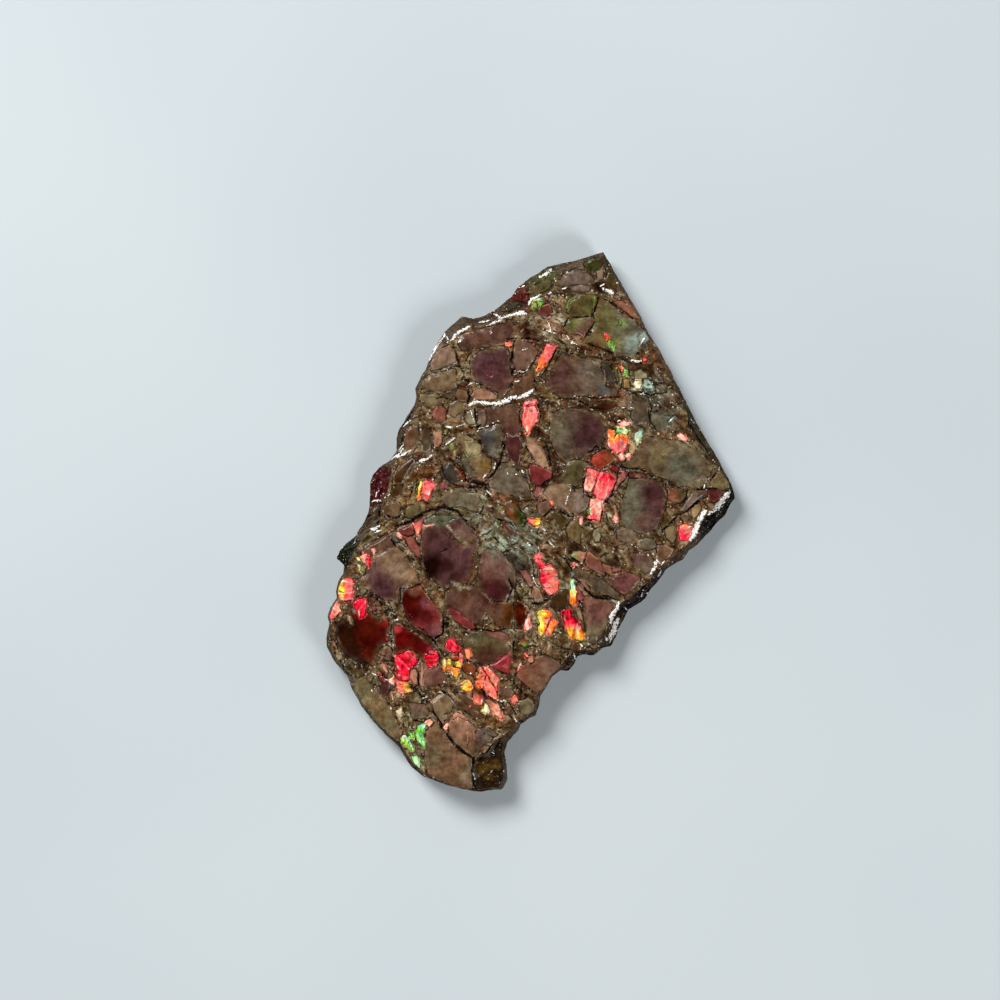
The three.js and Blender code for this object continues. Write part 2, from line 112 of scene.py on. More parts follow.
# The side below the lips, down to the rest face: how far in toward the spine each row is, and its level.
WALL_ROWS = (
    (0.03, 1.0), (0.14, 0.88), (0.27, 0.72), (0.3, 0.52), (0.5, 0.4), (0.66, 0.24), (0.7, 0.08), (0.72, 0.0),
)
LOBE_RISE = 0.18
STONE_TOP = 1.98
STONE_RELIEF = 0.22
# A tablet's face: its rise over the ground, its slope and how far its surface swells and ripples.
TABLET_LEAST, TABLET_SPREAD = 0.05, 0.1
TABLET_SLOPE = 0.035
FACE_SWELL, FACE_RIPPLE = 0.05, 0.012
BEVEL = 0.085
GROOVE = 0.03  # round it
# The crushed shell's chips: their size, how their heights differ, their slope and the grooves between
# them. Its grit is finer than they are.
CHIP_SIZE = 0.62
CHIP_RELIEF = 0.05
CHIP_LEAN = 0.1
CHIP_GROOVE = 0.025
GRIT_RELIEF = 0.035
CRACK_DEPTH = 0.14
GLINT_RISE = 0.09
# The depth of the back's hollows, and how far the side's thin layers differ in reach.
BACK_HOLLOW = 0.12
LAMINA = 0.1
# The slab bends across its long axis. The bend fades out from the ground down to BEND_LOW.
WHORL_RADIUS = 170.0
LONG_AXIS_TURN = math.radians(-24)
BEND_LOW = 0.55
# The grain of the crushed shell runs round this spot on the plan.
WHORL_MIDDLE = (450, 650)

# ---------------------------------------------------------------- looks
# Plain looks are sRGB colours, out of 255.
PLAIN = {
    "umber": (60, 40, 20),
    "umber_brown": (64, 36, 16),
    "umber_olive": (46, 40, 20),
    "umber_amber": (84, 48, 18),
    "umber_red": (58, 14, 4),
    "khaki": (116, 98, 70),
    "khaki_dark": (76, 62, 34),
    "khaki_brown": (112, 92, 68),
    "khaki_green": (106, 102, 58),
    "khaki_taupe": (105, 80, 58),
    "khaki_olive": (84, 76, 48),
    "khaki_light": (142, 130, 96),
    "slate_khaki": (104, 90, 70),
    "slate": (84, 76, 62),
    "slate_dark": (58, 52, 44),
    "slate_blue": (80, 82, 78),
    "slate_teal": (94, 90, 74),
    "slate_green": (104, 98, 80),
    "slate_brown": (88, 72, 56),
    "teal_brown": (86, 80, 62),
    "teal_dark": (82, 98, 76),
    "grey": (92, 82, 66),
    "grey_pale": (126, 116, 90),
    "grey_speckled": (90, 78, 64),
    "taupe": (126, 102, 78),
    "taupe_grey": (124, 106, 90),
    "taupe_brown": (90, 64, 50),
    "taupe_mauve": (104, 88, 76),
    "taupe_pink": (122, 100, 82),
    "tan": (148, 118, 94),
    "tan_light": (182, 150, 112),
    "tan_rust": (146, 108, 86),
    "tan_pink": (168, 114, 92),
    "brown": (96, 70, 50),
    "brown_mauve": (84, 58, 48),
    "rust_brown": (130, 88, 66),
    "ochre": (122, 92, 48),
    "ochre_brown": (112, 84, 50),
    "gold": (160, 138, 98),
    "mauve": (106, 70, 60),
    "mauve_brown": (102, 76, 62),
    "mauve_dark": (102, 62, 58),
    "mauve_grey": (100, 82, 68),
    "mauve_pink": (126, 86, 72),
    "mauve_slate": (94, 76, 66),
    "mauve_umber": (78, 54, 38),
    "violet": (76, 48, 48),
    "maroon": (98, 48, 42),
    "maroon_dark": (66, 34, 32),
    "plum": (62, 36, 38),
    "rose_brown": (120, 74, 56),
    "rose_dull": (126, 70, 62),
    "rose_dark": (142, 70, 74),
    "rose_pale": (158, 92, 88),
    "crimson_dull": (108, 42, 42),
    "crimson_pale": (154, 58, 54),
    "brick": (162, 60, 48),
    "rust": (114, 60, 32),
    "garnet": (76, 16, 6),
    "green": (92, 96, 50),
    "green_dim": (80, 80, 44),
    "green_dark": (46, 56, 22),
    "olive_dull": (90, 86, 52),
    "leaf_brown": (112, 132, 66),
    "leaf_pale": (138, 142, 86),
    "cream": (234, 220, 182),
    "cyan_pale": (172, 198, 180),
    "cyan_dull": (112, 124, 116),
    "pearl_olive": (148, 146, 112),
    "pearl": (236, 204, 172),
}
# Tablets of these looks have a clear edge, and so have flashing ones. The others fade into the shell.
CRISP = {
    "brick", "cream", "crimson_dull", "cyan_pale", "garnet", "gold", "green_dim", "maroon", "mauve_brown",
    "pearl", "rose_brown", "rose_dark", "rose_dull", "rust", "slate_blue", "tan", "tan_pink", "tan_rust",
    "taupe_pink",
}
# The plain colour of a tablet whose looks both flash.
HIDDEN_TONE = (90, 60, 44)
# The side that a tablet's second look is on, as an angle on the plan.
COMPASS = {"E": 0, "NE": 45, "N": 90, "SW": 225, "S": 270, "SE": 315}
# Iridescent looks are places on the flash ramp, from deep red (0) to pale teal (1).
FLASH = {
    "crimson": 0.13,
    "ruby": 0.22,
    "rose": 0.27,
    "rose_red": 0.31,
    "pink_red": 0.36,
    "red": 0.4,
    "coral": 0.47,
    "coral_white": 0.51,
    "orange_red": 0.56,
    "orange": 0.62,
    "flame": 0.69,
    "yellow": 0.77,
    "yellow_white": 0.81,
    "leaf": 0.91,
    "pearl_green": 0.96,
}
# How far a flash look is paled toward white by painted highlights.
PAINTED_HIGHLIGHT_SHARE = {"coral_white": 0.42, "yellow_white": 0.5, "pearl_green": 0.25, "coral": 0.12, "pink_red": 0.12}
FLASH_RAMP = {
    0.0: (80, 6, 4),
    0.08: (140, 8, 14),
    0.2: (222, 14, 44),
    0.32: (255, 44, 70),
    0.44: (255, 76, 66),
    0.54: (254, 104, 44),
    0.64: (255, 134, 30),
    0.76: (250, 222, 76),
    0.84: (160, 222, 66),
    0.92: (84, 196, 58),
    1.0: (168, 232, 206),
}
# How a ground chip's own number shades its middle, and the haze at its rim.
CHIP_HAZE = (204, 204, 194)
CHIP_SHADES = {
    0.0: (92, 78, 70),
    0.2: (174, 158, 150),
    0.4: (216, 216, 204),
    0.6: (152, 156, 150),
    0.8: (240, 238, 226),
    1.0: (192, 160, 150),
}
# The gain of these shades, and that of the shell's stains.
SHADE_GAIN = (2.1, 2.02, 1.94)
STAIN_GAIN = (0.92, 0.56, 0.42)
# Where the pearl is darker it is also redder, and where it is lighter it is greyer: a change of k in its
# brightness is these powers of k in red, green and blue.
SHELL_POWERS = (1.0, 1.36, 1.72)
TABLET_POWERS = (1.0, 1.14, 1.24)
# How wide the crushed shell's hazy chips are, and the crumbs between them (mm).
CHIP_CELL, CRUMB_CELL = 1.25, 0.3
# The joints and pits of the crushed shell, and its pale specks, which are partly pale crumbs and partly
# painted highlights.
JOINT_BROWN = (22, 9, 3)
PIT_BROWN = (20, 8, 2)
SPECK_AND_GLINT_GREY = (216, 212, 196)
# A tablet's pale line inside its edge, a painted highlight; the dark rim on its edge, painted shade in the
# crevice round it; and the sparkles on its edge, painted highlights.
EDGE_HIGHLIGHT_LINE = (190, 168, 140)
RIM_SHADE_BROWN = (16, 8, 3)
SPARKLE_WHITE = (244, 240, 228)
# The splits of a flashing tablet, and the white of the painted highlights that pale it in streaks and
# patches.
SPLIT_RED = (48, 6, 3)
FIRE_HIGHLIGHT = (255, 240, 222)
# Cracks, whose black is partly painted shade; white ledges, whose white is partly painted highlight; the
# specks of the stepped edge; and the block of stone.
CRACK_AND_SHADE_BLACK = (8, 4, 2)
GLINT_GREY = (150, 144, 130)
GLINT_WHITE = (255, 254, 250)
LEDGE_SPECK = (190, 184, 168)
STONE_DARK = (30, 18, 8)
STONE_OCHRE = (78, 58, 20)
# The broken side and the back, by the value of the noise that layers them.
WALL_PEARL = {0.3: (22, 11, 7), 0.46: (44, 25, 15), 0.58: (70, 48, 31), 0.68: (112, 90, 64)}
WALL_SHALE = {0.3: (24, 21, 18), 0.5: (46, 41, 35), 0.7: (76, 69, 59)}
BACK_SHALE = {0.32: (46, 42, 37), 0.5: (74, 68, 60), 0.68: (104, 96, 84)}
RUST = (110, 74, 44)
SHALE_GRAIN = (168, 160, 144)
# Nearly all of a noise texture's values lie between these.
NOISE_RANGE = (0.3, 0.7)

# The pearl tablets, one a row: its look (or two looks and the side that the second is on), then its
# outline. A row goes on where the next line is indented. A tablet's number gives the lean of its face.
TABLETS = """
umber | 590,259 602,257 607,263 601,271 593,269 588,264
khaki_dark | 608,272 614,272 620,283 618,291 609,287 605,280
taupe_mauve | 562,274 575,268 587,271 596,281 588,286 572,289 560,285
khaki_dark | 529,289 537,284 547,279 554,282 552,288 544,293 533,295
garnet | 513,294 527,286 530,296 526,304 513,300
umber_olive | 508,300 520,301 526,306 510,312 501,311
leaf maroon E | 533,300 540,297 550,296 546,303 539,309 533,309
maroon | 541,306 550,303 552,312 550,320 543,319 537,312
khaki_dark green_dim E | 566,312 570,300 578,294 590,294 597,297 593,316 583,317 572,316
green mauve SE | 568,319 580,318 592,317 594,322 590,331 584,338 577,334 566,332 564,328
olive_dull slate_teal E | 598,298 606,300 615,306 622,314 635,320 645,330 650,338 645,345 638,352 632,358
    612,352 598,345 583,342 592,332 597,325 594,316 597,304
rust_brown | 613,301 622,301 629,306 637,313 640,319 630,317 620,311
brown_mauve | 459,334 475,329 492,326 512,321 516,328 513,339 505,345 490,346 475,348 462,351 458,343
taupe_pink | 441,348 450,344 455,351 457,362 447,366 431,371 431,361 435,353
khaki_brown | 429,374 455,368 459,385 451,390 436,392 420,388 423,380
violet | 470,360 480,350 500,347 508,350 511,365 511,383 506,395 498,392 486,386 474,382 470,375
mauve_brown | 515,340 524,341 532,342 538,350 536,358 530,367 516,375 513,362 513,350
brown | 514,378 532,375 537,385 533,390 520,394 508,397 512,388
tan_rust | 473,390 481,388 490,391 498,396 496,399 485,400 475,400 471,395
pink_red orange SW | 547,344 557,346 553,356 548,364 541,369 537,374 536,370 539,360 541,354
brown_mauve grey E | 551,372 557,359 562,352 576,357 590,360 600,362 602,375 606,386 617,391 616,396
    600,395 575,397 560,397 550,391 545,384
slate_dark | 601,362 608,364 613,372 617,380 614,384 605,382
green_dim | 611,363 617,368 619,375 618,385 615,377
leaf | 623,371 628,369 631,373 629,377 624,376
ochre | 623,380 630,379 630,389 623,389
cream cream E | 635,379 642,379 643,384 641,389 635,389 634,384
cyan_pale cyan_pale E | 644,379 650,379 652,384 654,389 646,389 643,386
pearl_olive | 634,372 640,370 648,374 648,379 635,379
umber_brown | 592,405 602,401 617,403 618,408 607,413 595,410
taupe_brown | 475,408 490,407 505,405 518,402 519,415 519,430 519,458 511,445 505,432 498,421 488,426
    479,430 478,418
grey_pale | 466,412 474,408 475,415 476,424 468,424 464,420
slate_dark slate E | 478,431 488,428 498,423 502,430 503,440 500,450 494,458 488,454 482,450 480,440
    474,435
khaki | 459,432 470,437 478,441 481,452 491,459 492,468 486,477 479,478 471,466 463,451 457,441
maroon_dark | 506,432 512,436 520,434 521,446 520,460 519,470 511,462 506,454 504,444
pink_red coral S | 524,407 535,406 538,413 537,422 531,428 529,434 526,432 524,425 522,415
tan | 525,434 531,438 540,447 546,455 549,465 551,471 545,470 538,465 532,458 527,450 525,443
crimson_dull | 530,463 540,466 549,470 553,473 552,478 546,481 541,485 536,486 532,482 528,474 528,468
rose_dark | 536,486 540,486 541,492 538,497 534,497 535,490
grey_speckled violet E | 552,414 560,409 575,408 590,411 603,417 605,426 604,440 599,448 593,451 589,457
    579,458 565,461 556,455 551,440 549,426
tan_rust tan_pink S | 433,431 443,431 442,441 438,447 434,448 433,440
leaf_pale | 449,443 453,442 455,448 453,453 450,450
gold | 453,450 457,450 456,457 453,459
rose_brown | 434,408 442,406 447,411 446,420 438,423 432,419
khaki | 420,394 437,394 446,398 443,404 434,406 425,405 419,400
khaki_brown | 449,403 457,399 465,403 464,415 459,421 452,420 448,412
khaki_taupe | 457,388 466,390 469,396 466,402 459,401 455,396
brown | 405,430 410,425 418,426 420,438 415,449 406,449 403,441
umber slate_dark S | 423,426 431,429 431,449 427,453 421,451 422,440
umber_brown | 402,463 412,455 420,456 412,467 406,478 403,484 393,484 392,476 396,469
umber | 393,486 403,485 401,495 398,498 393,497 391,492
taupe_brown | 385,503 398,500 401,505 399,514 396,519 387,520 383,515 383,508
pink_red | 422,482 426,480 430,481 435,485 434,488 431,493 428,501 425,500 423,495 422,488
yellow orange_red S | 419,481 422,481 422,485 421,492 420,500 418,500 418,490
slate_dark | 441,468 450,463 456,471 461,480 454,483 445,481 441,476
rust | 454,465 458,465 464,473 467,482 463,481 457,472
slate | 461,460 466,459 474,470 477,479 470,477 464,468
slate_khaki | 443,491 452,488 462,487 466,492 478,494 481,501 477,513 470,511 462,507 455,507 448,505
    442,500
grey_speckled | 500,463 508,462 514,468 526,478 530,488 531,496 520,498 505,494 490,490 488,484 494,474
rust green_dark E | 505,502 511,501 517,504 520,510 526,517 527,521 524,526 518,527 512,520 506,514
    504,508
coral flame E | 528,519 534,520 539,518 540,523 537,527 533,526 529,522
mauve_brown | 539,503 547,501 552,503 553,508 547,512 543,516 539,513 537,508
taupe | 551,483 563,483 570,487 574,490 574,500 574,513 568,513 560,508 551,505 544,499 543,492 546,487
taupe_grey | 575,489 582,488 585,490 590,497 587,508 582,513 575,515 571,510 574,500
khaki_olive | 566,463 575,460 582,461 585,465 583,475 582,484 575,487 566,484 560,478 564,470
khaki_dark | 550,513 554,510 560,514 566,520 566,527 562,531 557,525 552,518
ochre_brown | 569,522 578,518 581,530 580,545 570,540 566,530
orange pink_red S | 608,431 614,431 615,438 618,433 622,437 624,433 628,434 628,441 626,448 622,452
    617,453 612,450 608,445
leaf yellow_white E | 617,427 622,427 630,430 626,436 622,434 617,432
coral_white | 619,424 624,421 630,421 630,425 624,427
pearl_green | 634,434 640,430 642,433 640,440 637,444 635,440
tan_light | 630,444 635,442 636,449 633,456 629,455
brick rust E | 590,462 593,456 601,450 606,449 612,453 617,459 613,463 607,466 600,470 594,467
coral_white pink_red N | 588,468 592,469 598,472 597,478 594,486 592,492 586,491 583,489 585,480
rose_red pink_red S | 600,472 606,473 613,476 616,481 614,488 609,494 605,500 600,500 594,494 596,485
    597,477
pink_red coral_white NE | 590,498 596,498 603,501 603,510 601,520 597,522 588,519 591,512 589,505
rose_pale | 623,469 627,472 626,478 620,485 614,493 610,498 608,497 613,490 617,483 620,475
tan coral_white S | 612,507 615,504 618,510 618,517 618,524 615,524 613,519 615,513
slate_teal violet E | 630,479 648,478 662,484 667,492 665,505 662,518 655,530 645,533 632,531 620,525
    621,505 626,490
maroon | 628,472 645,474 648,478 630,478
slate_brown slate_khaki E | 622,465 635,450 645,435 660,438 680,441 700,452 712,462 710,475 700,488
    680,486 665,478 650,470 635,467
slate_green slate_teal S | 650,410 660,415 678,418 670,428 658,431 650,425
slate_brown | 633,401 645,403 649,409 649,420 644,427 636,425 631,417
coral_white | 677,436 682,433 687,437 688,441 684,442 678,439
khaki | 711,479 716,474 723,474 729,481 730,488 722,488 711,486
maroon | 708,490 718,490 723,493 720,500 714,503 708,500
rose_brown khaki_dark E | 668,487 676,488 682,492 687,491 686,497 680,504 672,502 667,498
mauve_slate | 691,494 700,490 707,484 706,494 698,500 693,505 685,512 681,510 686,501
gold | 695,505 700,503 703,508 700,514 694,520 691,514
rose coral NE | 679,526 685,524 694,527 694,533 688,540 680,540
khaki | 665,530 671,526 675,528 676,538 672,544 666,538
slate_green | 638,540 646,537 655,540 657,547 650,551 641,549
brown | 657,545 666,545 674,550 670,558 662,562 656,556
mauve_grey | 630,554 645,553 654,560 653,570 645,575 636,566
taupe_pink | 616,530 626,528 636,532 638,539 628,543 618,541
grey_pale | 593,530 599,528 602,537 600,543 595,543 592,536
leaf_brown tan_pink E | 570,556 575,552 580,550 587,552 585,558 583,564 577,561 572,558
rose_brown mauve_dark S | 587,553 590,552 596,557 603,562 606,568 605,578 600,574 593,570 587,566 585,562
mauve_dark | 608,578 616,575 625,572 640,577 640,582 634,590 625,595 614,588
rust_brown | 601,563 612,566 622,569 622,576 610,576 604,571
slate_brown | 572,569 580,567 590,572 603,580 614,589 622,597 620,601 608,597 596,590 584,582 577,577
rose_red coral E | 538,562 543,563 547,566 551,563 554,569 557,575 559,580 559,590 553,595 550,596 545,590
    541,583 540,570
pearl_green orange_red S | 571,580 574,580 577,592 577,604 574,607 570,604 570,592
rose_dark | 574,583 580,590 585,598 581,601 577,600 576,592
umber | 550,598 558,592 569,592 570,605 566,610 555,610 550,606
yellow orange_red E | 537,611 542,609 549,611 551,615 548,623 545,630 541,637 538,634 540,624 537,618
orange_red | 549,622 554,619 557,622 554,630 550,635 546,634 547,628
crimson flame S | 560,609 565,608 571,609 572,617 580,622 584,632 585,640 582,642 578,641 570,638 567,633
    564,622 561,616
mauve slate_khaki S | 583,596 595,597 608,600 616,605 611,615 607,625 603,635 596,643 589,643 586,630
    583,615
coral_white | 529,610 531,618 531,628 528,632 524,628 524,623 527,616
mauve_pink | 519,570 527,570 535,585 530,588 524,580
tan_rust | 533,585 540,590 543,600 535,603 531,592
maroon | 500,521 507,524 514,530 518,534 512,535 505,531 501,526
violet | 422,528 434,524 446,517 460,516 471,523 477,531 479,540 478,552 476,567 473,581 461,587 446,589
    436,583 427,573 422,564 420,548
teal_dark | 423,520 432,516 440,515 452,515 457,518 446,521 437,523 425,525
mauve maroon_dark S | 481,553 489,548 500,551 508,560 515,571 516,580 514,599 503,601 490,599 480,590
    477,576
brown_mauve | 445,592 456,587 471,584 479,588 486,595 491,600 490,608 485,616 483,622 475,624 461,617
    450,609 445,604
crimson_dull | 445,606 454,608 463,615 474,622 477,629 467,630 455,622 447,614
brown umber_amber E | 491,601 502,601 512,602 514,612 512,628 500,626 490,619 487,611
umber_red | 514,602 525,603 527,613 524,628 515,629 514,614
violet taupe NE | 373,552 383,546 396,546 405,553 414,567 419,582 404,588 399,592 398,602 385,600 372,592
    365,580 365,571
garnet crimson_dull SE | 401,589 412,585 420,584 424,590 433,602 442,614 444,622 442,633 435,638 426,636
    414,627 405,616 401,605
umber_red garnet E | 337,625 345,616 348,608 356,606 370,611 380,618 388,619 389,628 388,640 384,645
    379,650 376,660 373,667 366,663 355,661 346,655 339,645 335,635
ruby | 352,604 358,599 366,599 367,602 366,614 363,618 359,619 357,612 353,606
garnet | 394,623 400,623 408,630 418,633 426,639 434,648 440,657 438,664 434,667 428,668 424,663 420,657
    414,650 408,650 400,654 395,655 394,640
rose crimson SE | 395,655 401,653 408,650 413,653 416,658 417,664 412,668 409,672 410,680 404,681 398,680
    397,670 395,662
coral flame E | 396,682 401,681 409,682 409,688 411,692 404,694 398,689
tan_pink | 410,670 416,669 418,675 418,685 414,685 409,678
crimson rose E | 424,655 430,651 436,652 439,657 436,666 430,668 425,664
mauve | 420,664 428,668 436,667 440,664 444,672 446,680 440,684 428,686 421,688 419,678
ruby | 444,648 449,640 452,638 459,646 461,651 455,653 450,650
coral | 465,650 470,649 472,655 470,660 466,659
rust flame E | 440,660 446,659 447,666 445,671 441,669
umber_olive flame E | 446,660 451,659 452,664 451,671 446,672 444,666
flame | 455,662 460,660 462,663 461,668 456,667
flame orange E | 461,682 466,680 471,681 473,686 472,691 467,692 463,690 460,687
rust | 463,662 474,664 477,668 473,676 467,675 462,670
khaki_olive mauve_umber S | 464,635 474,632 486,631 500,637 510,647 508,655 498,659 487,666 480,665
    471,658 463,645
mauve_pink | 481,632 495,630 508,634 511,640 505,642 490,637
crimson_pale | 510,652 511,663 509,674 500,671 488,666 499,659
orange coral E | 475,684 480,667 483,669 485,674 484,686 481,690 477,687
coral | 484,667 490,669 495,674 498,680 497,690 498,700 494,700 486,694 484,688 486,676
rust coral S | 473,690 478,693 484,700 482,706 475,702 473,697
yellow_white | 483,711 485,704 489,708 489,713 485,714
tan_pink coral_white E | 484,699 490,699 497,705 500,712 503,717 501,720 495,716 490,708
coral | 510,698 516,694 518,700 514,706 511,702
rose_brown mauve_brown E | 533,658 545,655 559,661 562,667 556,671 549,679 544,689 535,694 525,685 516,677
    519,669 527,664
taupe_brown | 563,663 569,661 572,665 569,669 564,669
mauve_brown | 500,690 510,686 515,693 512,698 504,697
slate_khaki | 518,701 528,698 535,704 534,712 529,716 521,714
mauve_umber | 455,697 462,700 470,706 480,713 484,717 478,719 468,713 458,707
taupe khaki S | 427,704 440,694 447,693 455,703 450,712 443,722 437,717 431,710
tan_rust khaki_taupe S | 448,722 452,715 458,713 464,716 470,722 475,731 477,740 476,749 473,756 465,753
    458,747 453,740 449,732
mauve_slate | 477,728 490,728 498,735 490,742 480,748 474,752
khaki_taupe | 427,730 437,722 445,730 453,745 462,753 472,758 472,790 455,788 440,782 430,775 424,760
    424,745
leaf | 401,736 405,734 409,738 411,741 414,750 411,751 406,746 402,742
leaf | 408,731 412,733 414,740 410,739
leaf | 415,732 418,725 424,722 427,725 423,731 425,742 424,749 419,742
pearl_green | 411,757 415,755 418,758 420,765 419,769 414,764
cream | 395,711 402,708 403,712 399,719
mauve_brown teal_brown S | 409,703 425,704 429,712 426,718 413,720 410,712
coral coral_white N | 336,600 340,606 341,611 336,616 330,621 327,616 329,609
flame pink_red E | 338,582 344,579 352,580 353,590 352,600 345,602 340,597 337,592
coral_white rose E | 361,557 364,554 368,553 371,557 371,562 368,568 365,563
yellow_white | 357,558 359,558 362,573 360,573
rose_dark coral S | 413,524 418,521 425,517 423,523 421,530 419,535 416,534 414,528
maroon | 396,528 404,525 413,523 414,530 415,534 408,537 400,534
taupe_brown | 364,546 375,541 388,533 391,540 396,547 385,550 373,556 364,553
tan_pink | 380,664 384,664 389,672 386,674 381,668
coral | 378,673 384,679 385,681 380,677
coral_white | 388,679 394,676 395,684 391,685
khaki | 352,684 362,676 376,690 388,703 398,722 402,733 398,744 388,735 375,722 363,707 355,695
pearl | 389,691 392,691 394,700 392,701
coral_white | 425,721 431,719 434,722 430,728 426,725
green_dark khaki_green N | 583,263 592,260 600,261 607,266 605,271 594,272 586,269
taupe_grey | 596,271 603,269 604,279 598,281
taupe_mauve | 570,286 580,284 592,285 590,291 578,292 571,290
rose_dark | 547,316 551,315 552,318 549,320
leaf_pale | 532,303 537,302 538,307 534,309
cyan_dull | 638,336 645,332 650,338 645,345 640,343
red | 604,332 606,333 609,338 608,341 605,337
yellow leaf S | 606,337 609,340 612,346 610,347 607,342
leaf_brown leaf S | 611,340 614,342 614,350 612,347
leaf_pale | 618,319 622,321 621,327 619,325
tan | 561,334 565,334 566,338 563,340
coral | 642,359 646,357 648,360 644,363
coral | 619,365 622,366 624,371 621,372
leaf khaki_green E | 624,368 630,370 630,376 624,374
coral | 505,343 510,341 513,345 510,348 505,346
rose_dark | 485,374 492,374 492,376 486,377
mauve_grey | 478,410 486,409 487,420 484,428 479,427
khaki_light | 464,441 474,440 481,445 480,455 470,457 465,450
pink_red | 523,401 536,401 536,405 524,405
leaf_pale | 444,430 447,430 447,436 445,436
rose_brown | 433,410 440,405 446,409 445,418 438,421 433,417
leaf_pale | 416,484 417.5,484 417,498 415.5,496
rose_dark | 440,484 444,482 446,485 444,489 441,488
coral_white | 471,483 475,482 476,485 472,486
khaki_olive | 405,508 412,505 421,506 420,514 410,519 405,517
coral_white | 397,533 400,532 403,536 401,538 398,536
slate_blue | 392,535 396,536 400,543 396,543 392,540
coral_white | 424,525.5 430,524 437,523.5 432,525.5 426,527
rose_dull | 402,536 414,536 420,548 421,560 415,556 408,546
coral_white | 373,549 375,548 376,553 374,555
gold | 348,616 350,617 353,625 350,627 348,621
rose_dark | 372,606 377,607 376,611 373,611
brick | 452,656 458,655 461,658 456,661 452,659
coral | 459,652 462,652 462,660 460,659
flame | 451,668 458,669 459,673 456,678 452,675
coral_white | 401,691 404,692 405,697 402,696
tan_pink | 333,642 336,645 337,649 334,646
tan_pink | 420,663 423,662 424,674 423,686 421,686
plum | 378,677 386,675 391,684 388,693 381,695
mauve_umber | 455,693 466,694 480,702 480,712 470,712 458,706
coral_white | 443,728 446,722 449,723 448,729 445,730
green_dim | 403,717 408,717 408,728 404,727
pink_red | 535,556 540,553 542,556 541,562 536,561
tan | 575,608 580,607 582,615 584,622 578,618
mauve_pink | 574,576 582,580 590,589 589,593 580,586
rust leaf_brown S | 519,640 523,638 527,641 528,646 524,648 520,644
coral_white | 518,671 519,664 521,663 521,668
coral | 525,654 528,655 528,658 525,658
tan_pink | 527,656 533,655 534,662 530,665 527,662
coral_white | 618,454 622,453 625,458 622,462
coral_white | 626,455 630,453 632,456 629,459 626,458
tan_pink | 639,422 643,421 645,424 641,425
crimson_dull | 608,467 614,465 619,468 620,474 613,472
yellow_white | 589,506 591,507 592,514 590,514
slate_teal | 668,421 675,415 679,417 674,424 669,425
coral | 549,501 552,501 553,506 551,507
leaf_pale | 500,506 503,504 504,508 502,510
green_dim | 521,519 525,518 528,521 525,524
yellow_white | 496,521 501,525 502,527 498,525
coral_white | 580,519 581.5,518 582,524 580.5,525
coral_white | 573,563 576,562 577,565 574,567
cyan_dull | 571,572 575,572 576,577 572,576
mauve_pink | 611,568 622,568 622,572 612,573
leaf_brown | 594,297 597,297 594,315 592,315
leaf_brown | 566,309 569,299 577,294 579,296 571,301 568,310
tan_pink | 466,731 467.5,731 469,741 467.5,747 466,742
tan_pink | 452,715 458,713 464,716 468,721 458,717 453,720
"""

